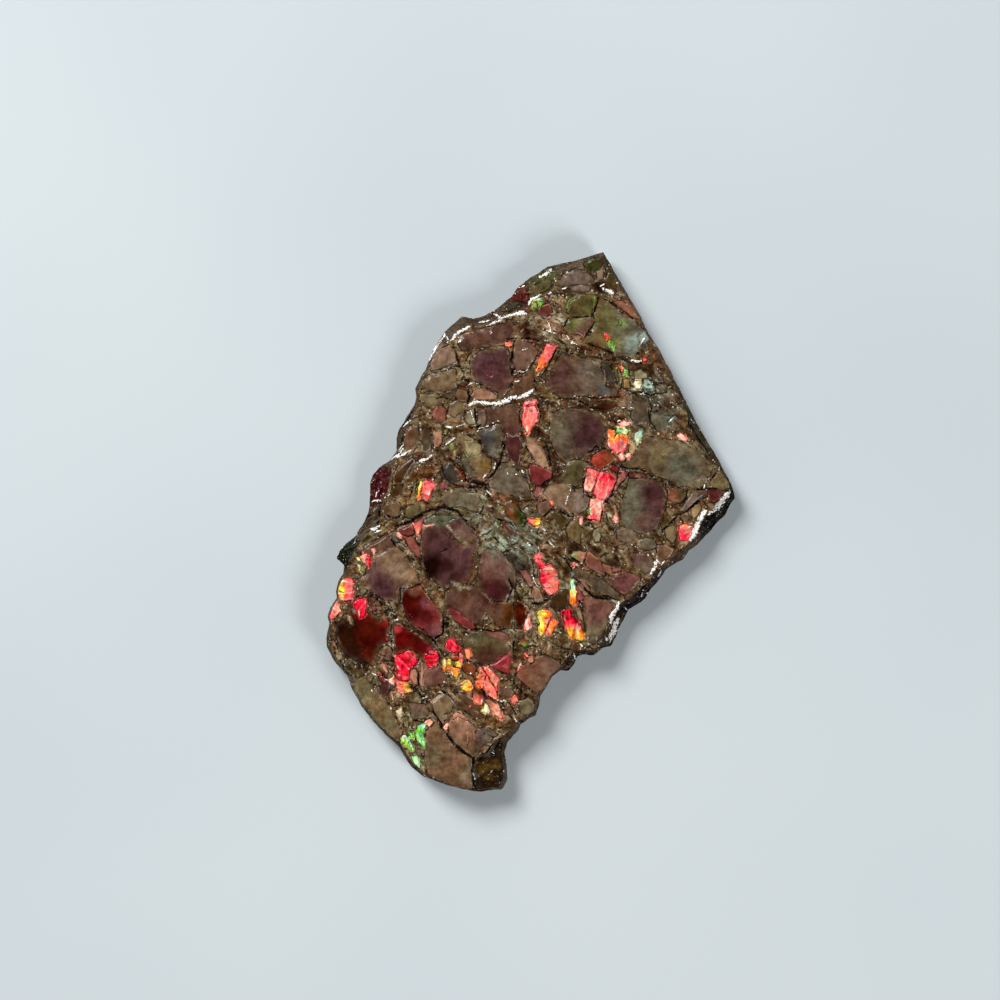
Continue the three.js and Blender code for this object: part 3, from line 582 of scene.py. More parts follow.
# Ledges and specks where broken pearl shows white, their white partly the pale broken pearl and partly a
# painted highlight where an edge catches the light: width in mm, then the line.
LEDGES_AND_GLINTS = """
.24 427,363 434,349 445,333 | .14 444,334 448,339 446,343 | .24 450,340 459,331 471,325
.12 458,337 461,341 455,343 | .16 478,323 492,320 | .16 486,326 507,318
.3 495,313 500,317 515,314 526,313 | .2 518,312 524,311 | .14 500,307 509,300
.18 512,297 519,287 525,286 | .14 526,288 535,282 | .3 541,276 549,271 557,267
.2 528,305 532,299 541,294 | .18 549,294 553,290 | .18 561,289 567,287 | .14 555,278 558,285
.34 603,289 612,293 | .14 605,283 600,288 | .1 619,281 616,283 | .16 632,360 641,361 | .14 653,342 657,347
.1 645,338 640,346 | .12 566,335 573,342 | .1 547,318 551,331 | .08 540,329 557,333
.34 469,405 476,402 500,404 509,399 520,396 534,389 | .14 523,398 529,395 | .12 514,375 526,371 533,359
.1 513,383 520,380 | .08 521,350 528,348 | .1 466,386 472,383 478,384 | .08 493,331 491,334
.16 447,427 452,427 | .12 456,427 465,424 | .14 444,445 455,438 | .24 418,463 422,461 428,458
.14 429,458 432,455 | .07 478,429 488,426 498,421 | .1 470,410 474,421 | .2 392,459 400,452 404,447
.2 397,452 403,445 | .18 396,457 405,454 412,450 | .14 402,426 412,419 | .2 371,502 376,500 382,501
.1 371,511 377,508 | .12 375,497 379,490 | .3 370,529 374,529 379,526 | .1 355,540 352,548
.1 384,499 390,494 | .1 375,533 383,530 | .16 495,462 495,468 | .12 487,473 483,478 | .1 486,489 492,496
.09 572,486 569,495 566,504 | .1 507,473 508,475 | .1 516,474 518,475 | .2 542,529 545,531
.12 532,576 535,582 538,588 | .22 527,543 530,546 | .08 520,536 525,533 | .12 516,483 517,485
.14 521,469 525,474 | .1 601,579 604,580 | .08 547,540 554,547 | .5 730,492 722,502 714,510
.26 716,510 708,515 | .46 706,511 700,522 692,540 | .1 703,529 700,535 | .1 716,507 722,512
.08 713,460 716,459 | .1 719,466 719,470 | .1 692,418 696,423 | .1 675,417 669,422 | .08 672,432 675,429
.12 709,478 704,489 | .12 566,339 570,339 | .12 572,343 576,344 | .1 640,394 647,392 | .1 622,408 628,407
.12 617,422 621,420 | .1 630,407 634,409 | .36 619,603 612,616 611,623 | .12 623,607 628,611
.48 618,619 614,630 610,642 | .24 606,636 606,642 | .1 600,646 597,649 | .2 573,653 576,660
.16 581,645 583,647 | .14 661,571 658,577 | .14 644,590 642,598 | .14 658,562 654,571
.12 665,561 662,565 | .1 649,592 648,596 | .08 635,546 640,548 | .12 657,560 660,563 | .1 503,770 505,776
.08 499,773 497,777 | .08 492,771 489,774 | .08 494,755 491,753 | .08 495,700 504,701 | .1 504,700 506,702
.08 519,724 514,718 | .08 473,790 474,781 474,770 | .08 421,774 429,779 | .08 437,783 441,785
.08 436,694 441,692 446,697 | .08 452,700 455,705 | .1 371,672 376,676 | .1 383,678 390,682
.08 472,672 470,675 | .08 413,617 409,614 | .1 394,620 400,619 | .08 494,594 490,600
.2 656,562 652,570 650,577 | .08 361,664 362,668 | .08 371,690 373,692 | .1 427,697 420,700
.08 340,550 344,546 | .06 338,553 337,557
"""
# Deep dark cracks, whose black is partly their dark fill and partly painted shade in the gap: width in mm,
# then the line.
CRACKS = """
.28 395,526 412,522 420,515 433,509 | .34 433,509 445,507 455,510 | .16 455,510 463,518 470,525 476,530
.16 402,507 404,513 | .2 505,445 500,460 495,472 | .16 495,472 486,481 478,484
.44 472,482 480,485 488,485 | .26 484,484 489,493 | .16 468,489 478,486 | .14 474,408 477,425
.2 469,427 478,427 482,424 | .14 489,513 497,519 511,523 520,534 | .12 494,537 503,546 511,556
.24 512,352 512,376 | .12 513,383 511,387 | .12 453,343 456,354 460,366 465,378 468,388
.16 468,388 470,396 467,404 | .1 460,378 470,381 | .08 465,362 469,355 472,351
.1 503,340 515,338 530,338 542,342 | .1 534,380 536,391 | .14 556,347 550,364 541,377
.1 522,402 519,414 522,428 | .1 538,405 541,415 538,425 | .1 525,436 527,448 534,460 | .1 546,443 551,466
.12 414,409 410,416 402,424 | .12 404,436 400,446 | .08 448,410 453,418 462,413
.08 430,401 441,397 452,400 | .12 442,464 444,476 452,484 464,487 | .1 450,461 460,470 466,482
.08 456,462 464,474 469,484 | .14 371,513 363,521 361,528 | .1 381,500 380,514 377,524
.1 384,515 393,518 400,516 | .1 414,480 412,492 410,500 | .16 391,538 395,545 | .08 424,500 431,505
.1 558,398 575,400 590,407 603,410 | .14 584,397 600,399 620,397 | .12 554,346 568,351 584,358
.12 583,343 600,348 615,355 632,363 | .08 584,357 600,358 612,361 626,368
.12 600,297 613,303 624,312 634,319 645,331 | .1 640,350 634,358 | .1 620,362 622,378 620,392
.1 620,467 640,469 652,474 | .12 652,474 668,482 684,490 | .1 684,490 700,489 715,488 729,491
.1 592,452 596,446 606,448 | .16 589,453 593,450 | .08 622,462 617,472 618,480 | .1 585,494 594,498
.12 584,497 583,486 586,478 | .12 586,519 598,521 | .1 601,500 603,510 600,522
.2 606,502 610,496 614,490 | .12 610,504 605,500 | .2 706,497 694,505 680,515 | .2 676,518 668,526 661,532
.1 716,472 711,480 705,489 | .12 648,398 652,408 650,420 656,429 | .1 665,484 668,497 665,512
.14 688,421 694,432 702,442 711,455 | .1 630,395 640,392 652,395 668,392 | .12 541,551 552,558
.1 547,551 556,549 | .1 528,500 538,500 | .1 543,516 552,508 | .1 551,506 564,514 574,518
.16 574,576 584,588 594,597 612,600 | .16 572,558 580,564 | .14 590,595 606,596 620,601
.12 530,604 550,602 | .16 532,605 545,604 | .1 556,553 566,560 573,570 | .16 509,578 513,588 508,600
.1 512,585 520,600 | .1 560,652 566,664 575,666 | .1 548,640 560,648 572,650 | .18 444,620 442,632 433,640
.4 447,619 447,627 | .1 400,589 412,588 420,583 | .1 401,600 400,588 | .08 372,595 386,606 397,616
.08 412,624 424,630 434,642 441,652 | .1 391,622 392,640 393,660 | .1 382,661 397,662
.1 376,668 390,684 400,690 | .1 418,660 418,680 422,692 | .1 404,680 416,690 426,700 434,708
.2 410,688 425,700 432,708 440,722 447,733 | .2 447,733 455,745 465,754 473,758 473,790
.12 474,678 480,688 486,697 | .1 482,668 490,680 497,692 | .1 466,661 482,664 | .1 485,693 497,702
.14 340,661 344,671 | .1 344,671 352,677 | .14 395,706 404,704 | .1 412,720 424,721 431,718
.14 599,297 593,315 | .1 571,317 590,316 | .1 567,320 563,328 | .12 595,321 590,330 582,341
.14 474,758 474,790 | .1 441,691 450,697 456,704 | .08 445,714 456,709 470,712
.1 508,700 515,714 521,722 | .08 512,680 528,698 536,700 | .08 484,733 494,738 504,741
.1 476,757 486,753 494,744 | .12 470,792 475,786 | .1 507,628 495,632 484,630 | .14 474,629 486,630
.1 514,642 512,655 518,660 | .08 447,660 441,652 | .1 448,548 440,552 | .05 634,381 643,381
.05 634,384 643,384 | .05 634,387 642,387 | .05 644,381 652,381 | .05 644,385 653,385
.08 330,635 338,648 | .08 364,664 372,668
"""
# Veins of fill between tablets: a tone, width in mm, then the line.
VEIN_TONES = {"amber": (84, 58, 22), "pale": (112, 104, 86), "dim": (66, 52, 36)}
VEINS = """
amber .16 478,524 480,545 473,556 472,572 | amber .16 472,572 466,585 452,590 444,593
amber .12 444,593 434,590 426,580 | amber .18 444,593 446,604 440,612 | amber .1 424,572 430,582 438,591
amber .12 424,590 434,603 442,612 | amber .14 598,298 592,314 | amber .1 568,318 563,329
amber .12 595,321 590,330 582,341 | amber .14 566,400 548,398 541,390
dim .2 440,532 450,537 458,541 468,543 474,542
pale .5 396,534 404,546 412,560 421,573 430,586 439,598 446,610 | pale .34 391,606 392,622 392,644 393,656
pale .3 446,612 452,622 462,634 474,642 | pale .2 392,604 400,600 402,592 408,586
pale .2 441,612 444,626 440,634 | dim .3 400,622 412,628 424,634 434,644
pale .24 455,584 462,588 470,588 | pale .16 452,582 460,590 | pale .2 487,486 496,492 506,500 512,510
pale .26 499,509 510,520 520,533 530,541 | pale .16 442,462 441,452
pale .14 447,525 455,535 464,542 472,546 | pale .3 520,600 530,598 540,604
pale .2 508,582 514,592 512,602
"""
# Soft clouds of colour: middle and reach in squares, sRGB colour, strength.
CLOUDS = """
431,566 16 22,5,2 1.0 | 446,566 10 36,12,9 0.85 | 455,577 8 44,16,14 0.7 | 466,536 13 100,78,64 0.7
438,519 11 90,90,70 0.8 | 432,540 12 74,46,44 0.7 | 492,594 15 64,26,26 0.85 | 495,563 14 102,76,64 0.7
510,575 9 104,88,72 0.7 | 407,600 10 54,6,3 0.95 | 414,613 10 56,6,4 0.95 | 425,603 6 120,70,76 0.6
426,618 8 66,10,12 0.85 | 434,631 9 124,80,80 0.6 | 415,591 6 130,84,66 0.7 | 344,632 14 32,14,6 0.9
352,650 12 36,16,8 0.9 | 370,640 12 50,5,3 0.9 | 386,624 6 140,24,20 0.7 | 404,636 12 84,6,6 0.9
398,629 5 206,58,66 0.8 | 421,647 9 70,6,8 0.9 | 430,650 5 150,40,60 0.7 | 386,640 6 92,16,16 0.8
386,657 9 98,62,58 0.7 | 362,662 8 40,18,10 0.8 | 485,366 15 74,46,50 0.8 | 505,386 10 90,60,50 0.7
474,352 8 92,66,58 0.6 | 560,375 15 72,44,42 0.8 | 590,372 13 98,88,76 0.7 | 604,390 8 88,96,94 0.8
600,370 7 54,48,44 0.8 | 556,432 15 88,80,64 0.8 | 583,436 14 56,30,32 0.9 | 576,411 10 90,70,58 0.7
598,446 7 96,82,66 0.6 | 628,487 10 92,90,74 0.8 | 632,508 9 94,88,66 0.6 | 651,494 12 56,30,30 0.9
642,522 10 104,76,64 0.8 | 658,455 13 104,92,62 0.8 | 682,464 19 80,80,66 0.85 | 692,472 9 66,68,58 0.6
684,482 9 100,104,90 0.6 | 640,462 9 104,84,56 0.6 | 606,318 13 92,86,52 0.8 | 634,346 11 116,128,116 0.8
600,339 10 100,76,44 0.8 | 640,338 7 140,156,150 0.6 | 622,324 6 112,140,78 0.7 | 616,345 7 110,110,58 0.6
400,566 12 116,94,76 0.7 | 380,590 13 70,44,46 0.8 | 372,575 8 90,62,62 0.6 | 597,614 12 98,62,56 0.8
592,643 8 94,90,72 0.7 | 480,640 10 76,66,46 0.8 | 488,655 12 66,38,28 0.8 | 503,662 8 140,34,52 0.8
465,598 11 92,56,44 0.7 | 520,612 9 72,20,4 0.8 | 498,611 7 84,58,46 0.7 | 500,545 18 100,102,88 0.8
472,442 8 126,116,86 0.8 | 488,438 10 66,64,64 0.9 | 497,452 6 112,112,102 0.5 | 486,466 7 98,72,24 0.8
466,455 8 112,106,78 0.7 | 492,418 12 84,56,48 0.8 | 510,430 9 80,46,44 0.8 | 512,458 8 66,32,34 0.8
506,478 12 98,90,72 0.7 | 462,500 16 96,92,74 0.7 | 548,325 12 128,118,98 0.7 | 525,330 9 72,56,46 0.7
575,272 13 84,72,64 0.7 | 595,263 9 52,56,26 0.8 | 614,275 8 56,50,22 0.8 | 545,308 8 88,44,34 0.8
580,304 9 78,66,40 0.7 | 583,325 9 96,84,62 0.7 | 630,302 9 104,66,52 0.7 | 640,420 12 78,72,60 0.8
672,402 9 58,32,18 0.8 | 668,418 9 86,92,80 0.7 | 436,415 9 110,68,56 0.7 | 425,445 12 86,76,56 0.7
403,468 12 80,60,38 0.7 | 390,510 11 96,76,54 0.8 | 440,375 12 108,92,66 0.7 | 441,352 10 120,96,80 0.7
430,395 10 98,88,66 0.7 | 560,500 12 110,88,70 0.7 | 580,500 10 106,90,80 0.7 | 575,530 12 98,84,54 0.7
560,520 7 64,50,24 0.8 | 540,490 8 116,84,66 0.5 | 620,540 16 96,80,66 0.7 | 640,555 14 90,64,56 0.7
625,580 10 96,58,54 0.8 | 598,585 9 72,64,52 0.8 | 700,455 9 84,80,62 0.7 | 720,480 9 100,86,58 0.7
713,494 7 76,30,34 0.8 | 690,500 9 104,86,72 0.7 | 430,755 14 94,84,62 0.7 | 450,740 10 108,80,62 0.6
466,775 9 126,110,86 0.7 | 455,762 8 108,76,62 0.6 | 362,692 13 96,92,66 0.7 | 385,690 9 84,52,46 0.7
345,668 9 82,74,50 0.7 | 390,725 10 92,84,60 0.7 | 540,680 14 108,82,62 0.7 | 525,705 9 100,94,66 0.7
490,735 9 96,86,68 0.7 | 495,715 12 100,84,58 0.7 | 560,655 9 90,74,54 0.7 | 450,695 12 98,80,60 0.6
430,678 9 104,74,60 0.7
"""
# What the crushed shell between the tablets is made of, and how the ground's tone changes.
CHIP_TONES = [
    (96, 80, 58), (84, 72, 52), (104, 88, 66), (78, 60, 42), (92, 82, 62),
    (112, 96, 72), (92, 66, 46), (70, 58, 40), (98, 86, 66), (106, 80, 60),
]
# Middle and reach (in squares), then the colour that the ground there leans to.
GROUND_ZONES = [
    ((510, 545), 48, (96, 98, 86)),
    ((470, 508), 30, (88, 90, 76)),
    ((548, 322), 22, (136, 130, 112)),
    ((655, 400), 40, (80, 82, 74)),
    ((400, 500), 40, (92, 78, 54)),
    ((350, 690), 40, (84, 78, 60)),
    ((450, 740), 40, (98, 84, 62)),
    ((600, 545), 30, (104, 92, 70)),
    ((690, 470), 30, (104, 90, 62)),
    ((560, 640), 30, (84, 74, 56)),
]

# The same for the stepped edge outside the top layer's lip.
LEDGE_TONE = (66, 52, 36)
LEDGE_ZONES = [
    ((376, 484), 26, (62, 12, 14)),
    ((346, 552), 22, (24, 26, 12)),
    ((716, 508), 40, (12, 3, 3)),
    ((640, 590), 44, (14, 4, 4)),
    ((590, 660), 40, (40, 26, 14)),
    ((655, 350), 80, (88, 68, 50)),
    ((350, 690), 60, (78, 72, 56)),
    ((520, 300), 26, (72, 44, 30)),
    ((545, 283), 22, (70, 68, 38)),
    ((700, 420), 60, (58, 52, 38)),
]

# ---------------------------------------------------------------- fine mesh (mm)
RIM_SAMPLES = 980
# The noise that makes the lips wander is read along a ring of this radius.
RING_RADIUS = 19
LATTICE = 0.128
BACK_LATTICE = 0.3
LATTICE_SHAKE = 0.3  # of its spacing
EDGE_SPACING = 0.095
LEAST_APART = 0.045  # the cell that keeps just one point
# How clear the lattice keeps of lines and loops, tablet edges and the tops of their bevels.
LINE_CLEARANCE = 0.05
EDGE_CLEARANCE = 0.042
BEVEL_CLEARANCE = 0.036
# Every sixth point of a loop is enough to tell how far inside it other points lie.
ROUGH_LOOP = 6
# How far smooth lines are pushed about, the chips' share of that, and how far drawn lines wobble.
WARP = 0.09
CHIP_WARP = 0.12
LINE_WOBBLE = 0.14
# How far round a line its depth is worked out, and its depth beyond that.
LINE_REACH = 0.6
FAR_OUT = -2.0
# How far round a tablet the ways to its edge are worked out, and how far its hue carries on.
EDGE_REACH = 0.5
HUE_BORDER = 0.25
HAZE_WIDTH = 0.12  # for each mm of a tablet's own size
# How far the edge of a plain tablet fades: most from this area (mm2) up.
MOST_SOFTNESS = 0.48
SOFT_AREA = 3.0
# A tablet's streaks run toward its second look's side, give or take half this angle (radians).
FLOW_SPREAD = 0.6
GOLDEN_SHARE = 0.618034
CREASE = math.radians(38)
# The painted values of a vertex before the tablets are laid.
START_VALUES = {"flash": 0.0, "hue": 0.5, "pale": 0.0, "grit": 1.0, "edge": -1.0, "flow": 0.0}
# The materials' numbers on the mesh.
PEARL, LEDGE, WALL, BACK = range(4)

# ---------------------------------------------------------------- stage and light
FLOOR_DARK = (184, 196, 203)
FLOOR_PALE = (192, 203, 209)
LIGHT_SIZE = 0.2
LIGHT_COLOUR = (1.0, 0.96, 0.92)
# The sky's brightness at two heights, the lower one first, and its tint.
SKY_STOPS = ((0.22, 0.95), (0.72, 0.02))
SKY_TINT = (0.94, 0.98, 1.0)


# ---------------------------------------------------------------- reading the tables
low_corner, high_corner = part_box(NODE)
west = low_corner.x / MM
north = high_corner.y / MM
square = (high_corner.x - low_corner.x) / MM / (OUTLINE_EAST - OUTLINE_WEST)


def on_plan(squares):
    """Squared-paper coordinates as points of the plan, in mm."""
    squares = np.asarray(squares, float)
    x = west + (squares[..., 0] - OUTLINE_WEST) * square
    y = north - (squares[..., 1] - OUTLINE_NORTH) * square
    return np.stack([x, y], axis=-1)


def plan(outline):
    """An outline or a line that is written in squared-paper pairs, as points of the plan."""
    return on_plan([pair.split(",") for pair in outline.split()])


def rim_line(which):
    """The fragment's outline (0) or the top layer's edge (1)."""
    return plan(" ".join(station.split(":")[which] for station in RIM.split()))


def entries(table):
    """A table's entries, which are parted by bars and line ends."""
    return table.replace("\n", " | ").strip(" |").split(" | ")


def read_lines(table):
    """Each line's width in mm and its points."""
    rows = [entry.split(maxsplit=1) for entry in entries(table)]
    return [(float(width), plan(line)) for width, line in rows]


def linear(rgb):
    """An sRGB colour out of 255 as linear numbers from 0 to 1."""
    share = np.asarray(rgb, float) / 255
    return np.where(share <= 0.04045, share / 12.92, ((share + 0.055) / 1.055) ** 2.4)


glints, cracks = read_lines(LEDGES_AND_GLINTS), read_lines(CRACKS)


# ---------------------------------------------------------------- noise
def smoothstep(low, high, value):
    """The value's share of the way from low to high, eased at both ends."""
    share = np.clip((value - low) / (high - low), 0, 1)
    return share * share * (3 - 2 * share)


def hashed(ix, iy, seed):
    """An even-looking number from 0 to 1 for each lattice cell."""
    wave = np.sin(ix * 127.1 + iy * 311.7 + seed * 74.7) * 43758.5453
    return wave - np.floor(wave)


def soft_noise(points, cell, seed):
    """Smooth noise from 0 to 1, with bumps about one cell wide."""
    spot = points / cell
    base = np.floor(spot)
    fade_x, fade_y = smoothstep(0, 1, spot - base).T
    ix, iy = base.T
    south, north = (
        hashed(ix, row, seed) * (1 - fade_x) + hashed(ix + 1, row, seed) * fade_x for row in (iy, iy + 1)
    )
    return south * (1 - fade_y) + north * fade_y


def rough_noise(points, cell, seed, octaves=4):
    """Soft noise with finer and weaker copies laid over it, from 0 to 1."""
    weights = [0.5**k for k in range(octaves)]
    layers = [w * soft_noise(points, cell * w, seed + 10 * k) for k, w in enumerate(weights)]
    return sum(layers) / sum(weights)


def chips(points, cell, seed):
    """Crushed chips: each point's chip number (0 to 1), offset from its middle and depth from its edge."""
    spot = points / cell
    base = np.floor(spot)
    nearest = np.full(len(points), 9.0)
    second = nearest.copy()
    number = np.zeros(len(points))
    offset = np.zeros_like(points)
    for step in np.ndindex(3, 3):
        ix, iy = (base + np.array(step) - 1).T
        middle = np.stack([ix + hashed(ix, iy, seed), iy + hashed(ix, iy, seed + 1)], axis=1)
        away = spot - middle
        distance = np.hypot(*away.T)
        closer = distance < nearest
        second = np.where(closer, nearest, np.minimum(second, distance))
        nearest = np.where(closer, distance, nearest)
        number = np.where(closer, hashed(ix, iy, seed + 2), number)
        offset = np.where(closer[:, None], away, offset)
    return number, offset * cell, (second - nearest) * cell / 2


# ---------------------------------------------------------------- plan geometry
def crossed(a, b):
    """The cross products of plan vectors."""
    return a[..., 0] * b[..., 1] - a[..., 1] * b[..., 0]


def signed_area(polygon):
    """A polygon's area in mm2, below zero where it runs clockwise."""
    return crossed(polygon, np.roll(polygon, -1, axis=0)).sum() / 2


def to_sides(points, start, side):
    """From each point to its nearest spot on each side: the way there, and how far along it is (0 to 1)."""
    away = points[:, None] - start
    share = np.clip((away * side).sum(-1) / (side**2).sum(-1), 0, 1)
    return share[..., None] * side - away, share


def to_line(points, line):
    """From each point to an open line: the way there, its length in mm and how far along it is (0 to 1)."""
    ways, shares = to_sides(points, line[:-1], np.diff(line, axis=0))
    lengths = np.hypot(ways[..., 0], ways[..., 1])
    pick = lengths.argmin(1)
    rows = np.arange(len(points))
    return ways[rows, pick], lengths[rows, pick], (pick + shares[rows, pick]) / (len(line) - 1)


def depth_inside(points, polygon):
    """How far each point lies inside a polygon, in mm: below zero outside it."""
    side = np.roll(polygon, -1, axis=0) - polygon
    ways, _ = to_sides(points, polygon, side)
    distance = np.hypot(ways[..., 0], ways[..., 1]).min(1)
    # A point lies inside where an odd number of sides pass to its east. A level side has nearly no rise.
    rise = np.where(side[:, 1] == 0, 1e-9, side[:, 1])
    height = (points[:, None, 1] - polygon[:, 1]) / rise
    beside = (height >= 0) & (height < 1)
    to_east = beside & (points[:, None, 0] - polygon[:, 0] < height * side[:, 0])
    inside = to_east.sum(1) % 2 == 1
    return np.where(inside, distance, -distance)


def near(points, shape, reach):
    """The numbers of the points within reach of a shape's box."""
    inside = (points > shape.min(0) - reach).all(1) & (points < shape.max(0) + reach).all(1)
    return np.flatnonzero(inside)


def drawn_in(points, inset):
    """The points, moved toward the spine by the inset."""
    ways, lengths, _ = to_line(points, plan(SPINE))
    return points + inset * ways / lengths[:, None]


def evenly_along(polygon, spacing):
    """Points along a closed polygon's sides, no further apart than spacing, and the way in at each."""
    turn = np.sign(signed_area(polygon))
    spots, inward = [], []
    for start, end in zip(polygon, np.roll(polygon, -1, axis=0)):
        side = end - start
        length = np.hypot(*side)
        count = max(1, math.ceil(length / spacing))
        shares = np.arange(count) / count
        spots.append(start + shares[:, None] * side)
        left = np.array([-side[1], side[0]]) / length
        inward.append(np.tile(left * turn, (count, 1)))
    return np.concatenate(spots), np.concatenate(inward)


# ---------------------------------------------------------------- tablets
def look_values(name):
    """A look's plain colour, flash strength, place on the flash ramp and paleness."""
    if name in PLAIN:
        return linear(PLAIN[name]), 0.0, None, 0.0
    return None, 1.0, FLASH[name], PAINTED_HIGHLIGHT_SHARE.get(name, 0.0)


class Tablet:
    """One tablet: its outline, its looks and the lean of its face, which its number in the table gives."""

    def __init__(self, number, look, outline):
        self.outline = plan(outline)
        self.middle = self.outline.mean(0)
        self.area = abs(signed_area(self.outline))
        self.size = math.sqrt(self.area)
        words = look.split()
        self.first = look_values(words[0])
        self.second = look_values(words[1]) if len(words) > 1 else self.first
        self.way = math.radians(COMPASS[words[2] if len(words) > 2 else "N"])
        self.flow = self.way + FLOW_SPREAD * (number * GOLDEN_SHARE % 1 - 0.5)
        self.rise = TABLET_LEAST + TABLET_SPREAD * (0.5 + 0.5 * math.sin(3.7 * number))
        self.slope = TABLET_SLOPE * np.array([math.sin(5.1 * number), math.cos(2.9 * number)])
        # Most plain tablets have no clear edge: they fade into the hazy shell round them.
        crisp = words[0] in CRISP or any(word in FLASH for word in words)
        self.softness = 0.0 if crisp else MOST_SOFTNESS * float(smoothstep(0.0, SOFT_AREA, self.area))

    def blend(self, points):
        """How far each point is from the first look toward the second."""
        heading = np.array([math.cos(self.way), math.sin(self.way)])
        reach = self.outline @ heading
        share = (points @ heading - reach.min()) / np.ptp(reach)
        return smoothstep(0.22, 0.78, share + 0.16 * (soft_noise(points, cell=0.5, seed=5) - 0.5))

    def colours(self, points):
        """Each point's plain colour, flash strength, place on the flash ramp and paleness."""
        share = self.blend(points)
        (plain_a, flash_a, hue_a, pale_a), (plain_b, flash_b, hue_b, pale_b) = self.first, self.second
        if plain_a is None:
            plain_a = linear(HIDDEN_TONE) if plain_b is None else plain_b
        plain_b = plain_a if plain_b is None else plain_b
        if hue_a is None:
            hue_a = 0.5 if hue_b is None else hue_b
        hue_b = hue_a if hue_b is None else hue_b
        plain_colour = plain_a + share[:, None] * (plain_b - plain_a)
        flash = flash_a + share * (flash_b - flash_a)
        return plain_colour, flash, hue_a + share * (hue_b - hue_a), pale_a + share * (pale_b - pale_a)


def read_tablets():
    """All tablets, the largest first: where two overlap, the smaller one lies on top."""
    rows = TABLETS.replace("\n    ", " ").strip().splitlines()
    found = [Tablet(number, *row.split(" | ")) for number, row in enumerate(rows)]
    return sorted(found, key=lambda tablet: -tablet.area)


tablets = read_tablets()


# ---------------------------------------------------------------- colours as fields of the plan
def toned(colour, change, powers):
    """The colours made darker or lighter: darker ones redder too, and lighter ones greyer."""
    return colour * change[:, None] ** np.array(powers)


def zoned(points, colour, zones, inner, most):
    """The colours, which lean to each zone's own: by most up to the inner share of its reach, then less."""
    for middle, reach, tone in zones:
        away = np.hypot(*(points - on_plan(middle)).T)
        share = most * (1 - smoothstep(inner, 1.0, away / (reach * square)))
        colour = colour + share[:, None] * (linear(tone) - colour)
    return colour


def ground_colours(points):
    """The crushed shell's colour: patches of its tones, which lean to their zone's."""
    tones = linear(CHIP_TONES)
    # The share just under 1 keeps the highest number in the list.
    number = soft_noise(points, cell=0.9, seed=43) * 0.999 * len(tones)
    colour = zoned(points, tones[np.floor(number).astype(int)], GROUND_ZONES, inner=0.3, most=0.8)
    return toned(colour, 0.66 + 0.68 * rough_noise(points, cell=1.6, seed=41), SHELL_POWERS)


def edge_colours(points):
    """The colour of the stepped edge outside the top layer's lip."""
    colour = np.tile(linear(LEDGE_TONE), (len(points), 1))
    colour = zoned(points, colour, LEDGE_ZONES, inner=0.5, most=1.0)
    return toned(colour, 0.5 + rough_noise(points, cell=0.5, seed=44), SHELL_POWERS)


def stone_colours(points):
    """The dark stone's colour: near black with ochre patches."""
    patch = smoothstep(0.42, 0.62, rough_noise(points, cell=0.9, seed=63))[:, None]
    colour = linear(STONE_DARK) + patch * (linear(STONE_OCHRE) - linear(STONE_DARK))
    return colour * (0.4 + 1.2 * rough_noise(points, cell=0.35, seed=62))[:, None]


def lay_clouds(points, colour):
    """Lays the soft clouds over the colour."""
    for entry in entries(CLOUDS):
        middle, reach, tone, strength = entry.split()
        centre = plan(middle)
        radius = float(reach) * square
        picked = near(points, centre, 1.6 * radius)
        away = np.hypot(*(points[picked] - centre).T) / radius
        away = away + 0.7 * (rough_noise(points[picked], cell=0.8, seed=47, octaves=3) - 0.5)
        share = float(strength) * (1 - smoothstep(0.35, 1.15, away))
        colour[picked] += share[:, None] * (linear(tone.split(",")) - colour[picked])


def lay_veins(points, colour, grit):
    """Lays the veins of fill over the colour and the grit."""
    for entry in entries(VEINS):
        tone, width, line = entry.split(maxsplit=2)
        line = plan(line)
        picked = near(points, line, LINE_REACH)
        _, distance, _ = to_line(points[picked], line)
        half = 0.5 * float(width) * (0.5 + rough_noise(points[picked], cell=0.5, seed=83, octaves=3))
        share = 0.85 * (1 - smoothstep(0.5 * half, half + 0.06, distance))
        colour[picked] += share[:, None] * (linear(VEIN_TONES[tone]) - colour[picked])
        grit[picked] = np.maximum(grit[picked], share)


# ---------------------------------------------------------------- relief as fields of the plan
def bent(points, level):
    """Heights once the flat layers are bent to the whorl."""
    across = points @ (math.cos(LONG_AXIS_TURN), math.sin(LONG_AXIS_TURN))
    sag = across**2 / (2 * WHORL_RADIUS)
    return level - smoothstep(BEND_LOW, GROUND, level) * sag


def warp(points):
    """How far the plan's smooth lines are pushed about to look broken."""
    push = [rough_noise(points, 0.7, seed) - 0.5 for seed in (21, 22)]
    return 2 * WARP * np.stack(push, axis=1)


def chip_relief(points):
    """The crushed shell's relief: leaning chips, the grooves between them and a fine grit."""
    number, offset, depth = chips(points + CHIP_WARP * warp(points), CHIP_SIZE, seed=31)
    lean = CHIP_LEAN * np.stack([np.sin(40 * number), np.cos(57 * number)], axis=1)
    height = CHIP_RELIEF * (hashed(number * 977, 0 * number, 3) - 0.35) + (offset * lean).sum(1)
    groove = CHIP_GROOVE * (1 - smoothstep(0, 0.07, depth))
    return height - groove + GRIT_RELIEF * (rough_noise(points, cell=0.4, seed=51) - 0.5)


